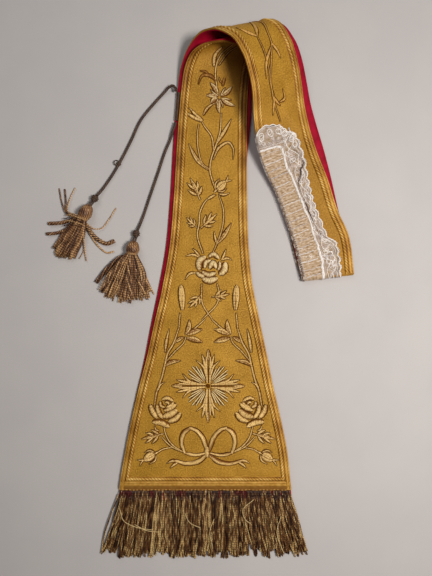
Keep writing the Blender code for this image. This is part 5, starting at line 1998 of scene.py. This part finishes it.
def add_edges(form, rng):
    """The cord along the top edge, the picots down both sides and the blobs inside the left one."""
    across = np.linspace(0.0, 2.0, 90)
    lace_line(form, top_edge(across), across, NET_HEIGHT + 0.1, 0.7, 0.5, 5)
    lace_line(form, top_edge(across) + 2.4, across, NET_HEIGHT + 0.2, 0.45, 0.3, 5)
    angle = np.linspace(0, math.tau, 9)
    cosine, sine = np.cos(angle), np.sin(angle)
    for at in np.arange(8.0, LACE_RUN, PICOT_PITCH):
        lace_line(form, at + 1.3 * cosine, 2.0 + 0.05 * sine, NET_HEIGHT, 0.4, 0.4)
        lace_line(form, at + 1.4 * cosine, -0.02 + 0.04 * sine, 0.7, 0.4, rng.uniform(-0.4, 0.3))
    blob = np.linspace(-1.0, 1.0, 5)
    for at in np.arange(BLOBS_FROM, LACE_RUN, PICOT_PITCH):
        wide = float(np.interp(at, (BLOBS_FROM, 200), (0.4, 1.0)))
        across = 0.045 + 0.025 * blob * wide
        lace_line(form, at + 1.5 + blob * 0.2, across, BAND_HEIGHT, 0.75 * wide, -0.6, 5)
        lace_line(form, at + 1.2 * cosine, 0.10 + 0.03 * sine, BAND_HEIGHT + 0.2, 0.35, 0.1)


def add_lace_threads():
    """Net, worked loops, bars and edge cords, each with its own unevenness."""
    form = Form()
    rng = np.random.default_rng(12)
    add_bead_line(form, rng)
    add_border_cords(form, rng)
    add_bars(form, rng)
    starts = np.arange(-26.0, LACE_RUN, NET_PITCH) + 11
    add_net_threads(form, starts, np.linspace(1.0, 2.0, 13), 22, LACE_RUN - 1)
    starts = np.arange(-14.0, BAND_START + 14, NET_PITCH)
    add_net_threads(form, starts, np.linspace(0.0, 1.0, 20), 30, BAND_START)
    add_loops(form, rng)
    add_edges(form, rng)
    return form.piece("lace_threads", [LACE], "lace")


def add_lace():
    net = add_lace_net()
    band = add_lace_band()
    threads = add_lace_threads()
    width = column(LACE_ROWS, "width")
    area = float(np.mean(width)) * LACE_RUN * MM * MM
    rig.sheet(
        net,
        flat=(float(width.max()) * MM, LACE_RUN * MM),
        held="folded",
        rests_on=["panel_lower"],
        area=area,
        with_pieces=[band, threads],
    )


# ---------------------------------------------------------------- stage and light

# Places and sizes in metres, and powers in watts.
LIGHTS = table(
    "name place aim size watts colour",
    ("key", (0.5, -0.03, 1.0), (0.0, 0.0, 0.0), 0.3, 10.3, (1.0, 0.97, 0.93)),
    ("fill", (-0.55, 0.95, 1.2), (-0.15, 0.15, 0.0), 1.0, 3.8, (0.95, 0.98, 1.0)),
)
WORLD_COLOUR = (1.0, 0.985, 0.97, 1.0)
WORLD_STRENGTH = 0.11
FLOOR_SIZE = 6.0
FLOOR_Z = -0.0002


def add_light(row):
    data = bpy.data.lights.new(row.name, "AREA")
    data.shape = "DISK"
    data.size = row.size
    data.energy = row.watts
    data.color = row.colour
    light = bpy.data.objects.new(row.name, data)
    light.location = row.place
    light.rotation_mode = "QUATERNION"
    light.rotation_quaternion = (Vector(row.aim) - Vector(row.place)).to_track_quat("-Z", "Y")
    bpy.context.scene.collection.objects.link(light)


def add_stage():
    bpy.ops.mesh.primitive_plane_add(size=FLOOR_SIZE, location=(0, 0, FLOOR_Z))
    floor = bpy.context.object
    floor.name = "floor"
    floor.data.materials.append(pale_floor())
    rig.stage(floor)
    world = bpy.data.worlds.new("soft_studio")
    world.use_nodes = True
    background = world.node_tree.nodes["Background"]
    background.inputs["Color"].default_value = WORLD_COLOUR
    background.inputs["Strength"].default_value = WORLD_STRENGTH
    bpy.context.scene.world = world
    for row in LIGHTS:
        add_light(row)
    bpy.context.scene.view_settings.view_transform = "Standard"


add_camera()
add_cords_and_tassels()
add_cloth()
add_braids()
add_embroidery()
add_fringes()
add_lace()
add_stage()

bpy.context.view_layer.update()
with open("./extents.json", "w") as file:
    json.dump({"cad": [list(corner) for corner in CAD_BOX], "visual": [list(corner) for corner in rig.bounds()]}, file)
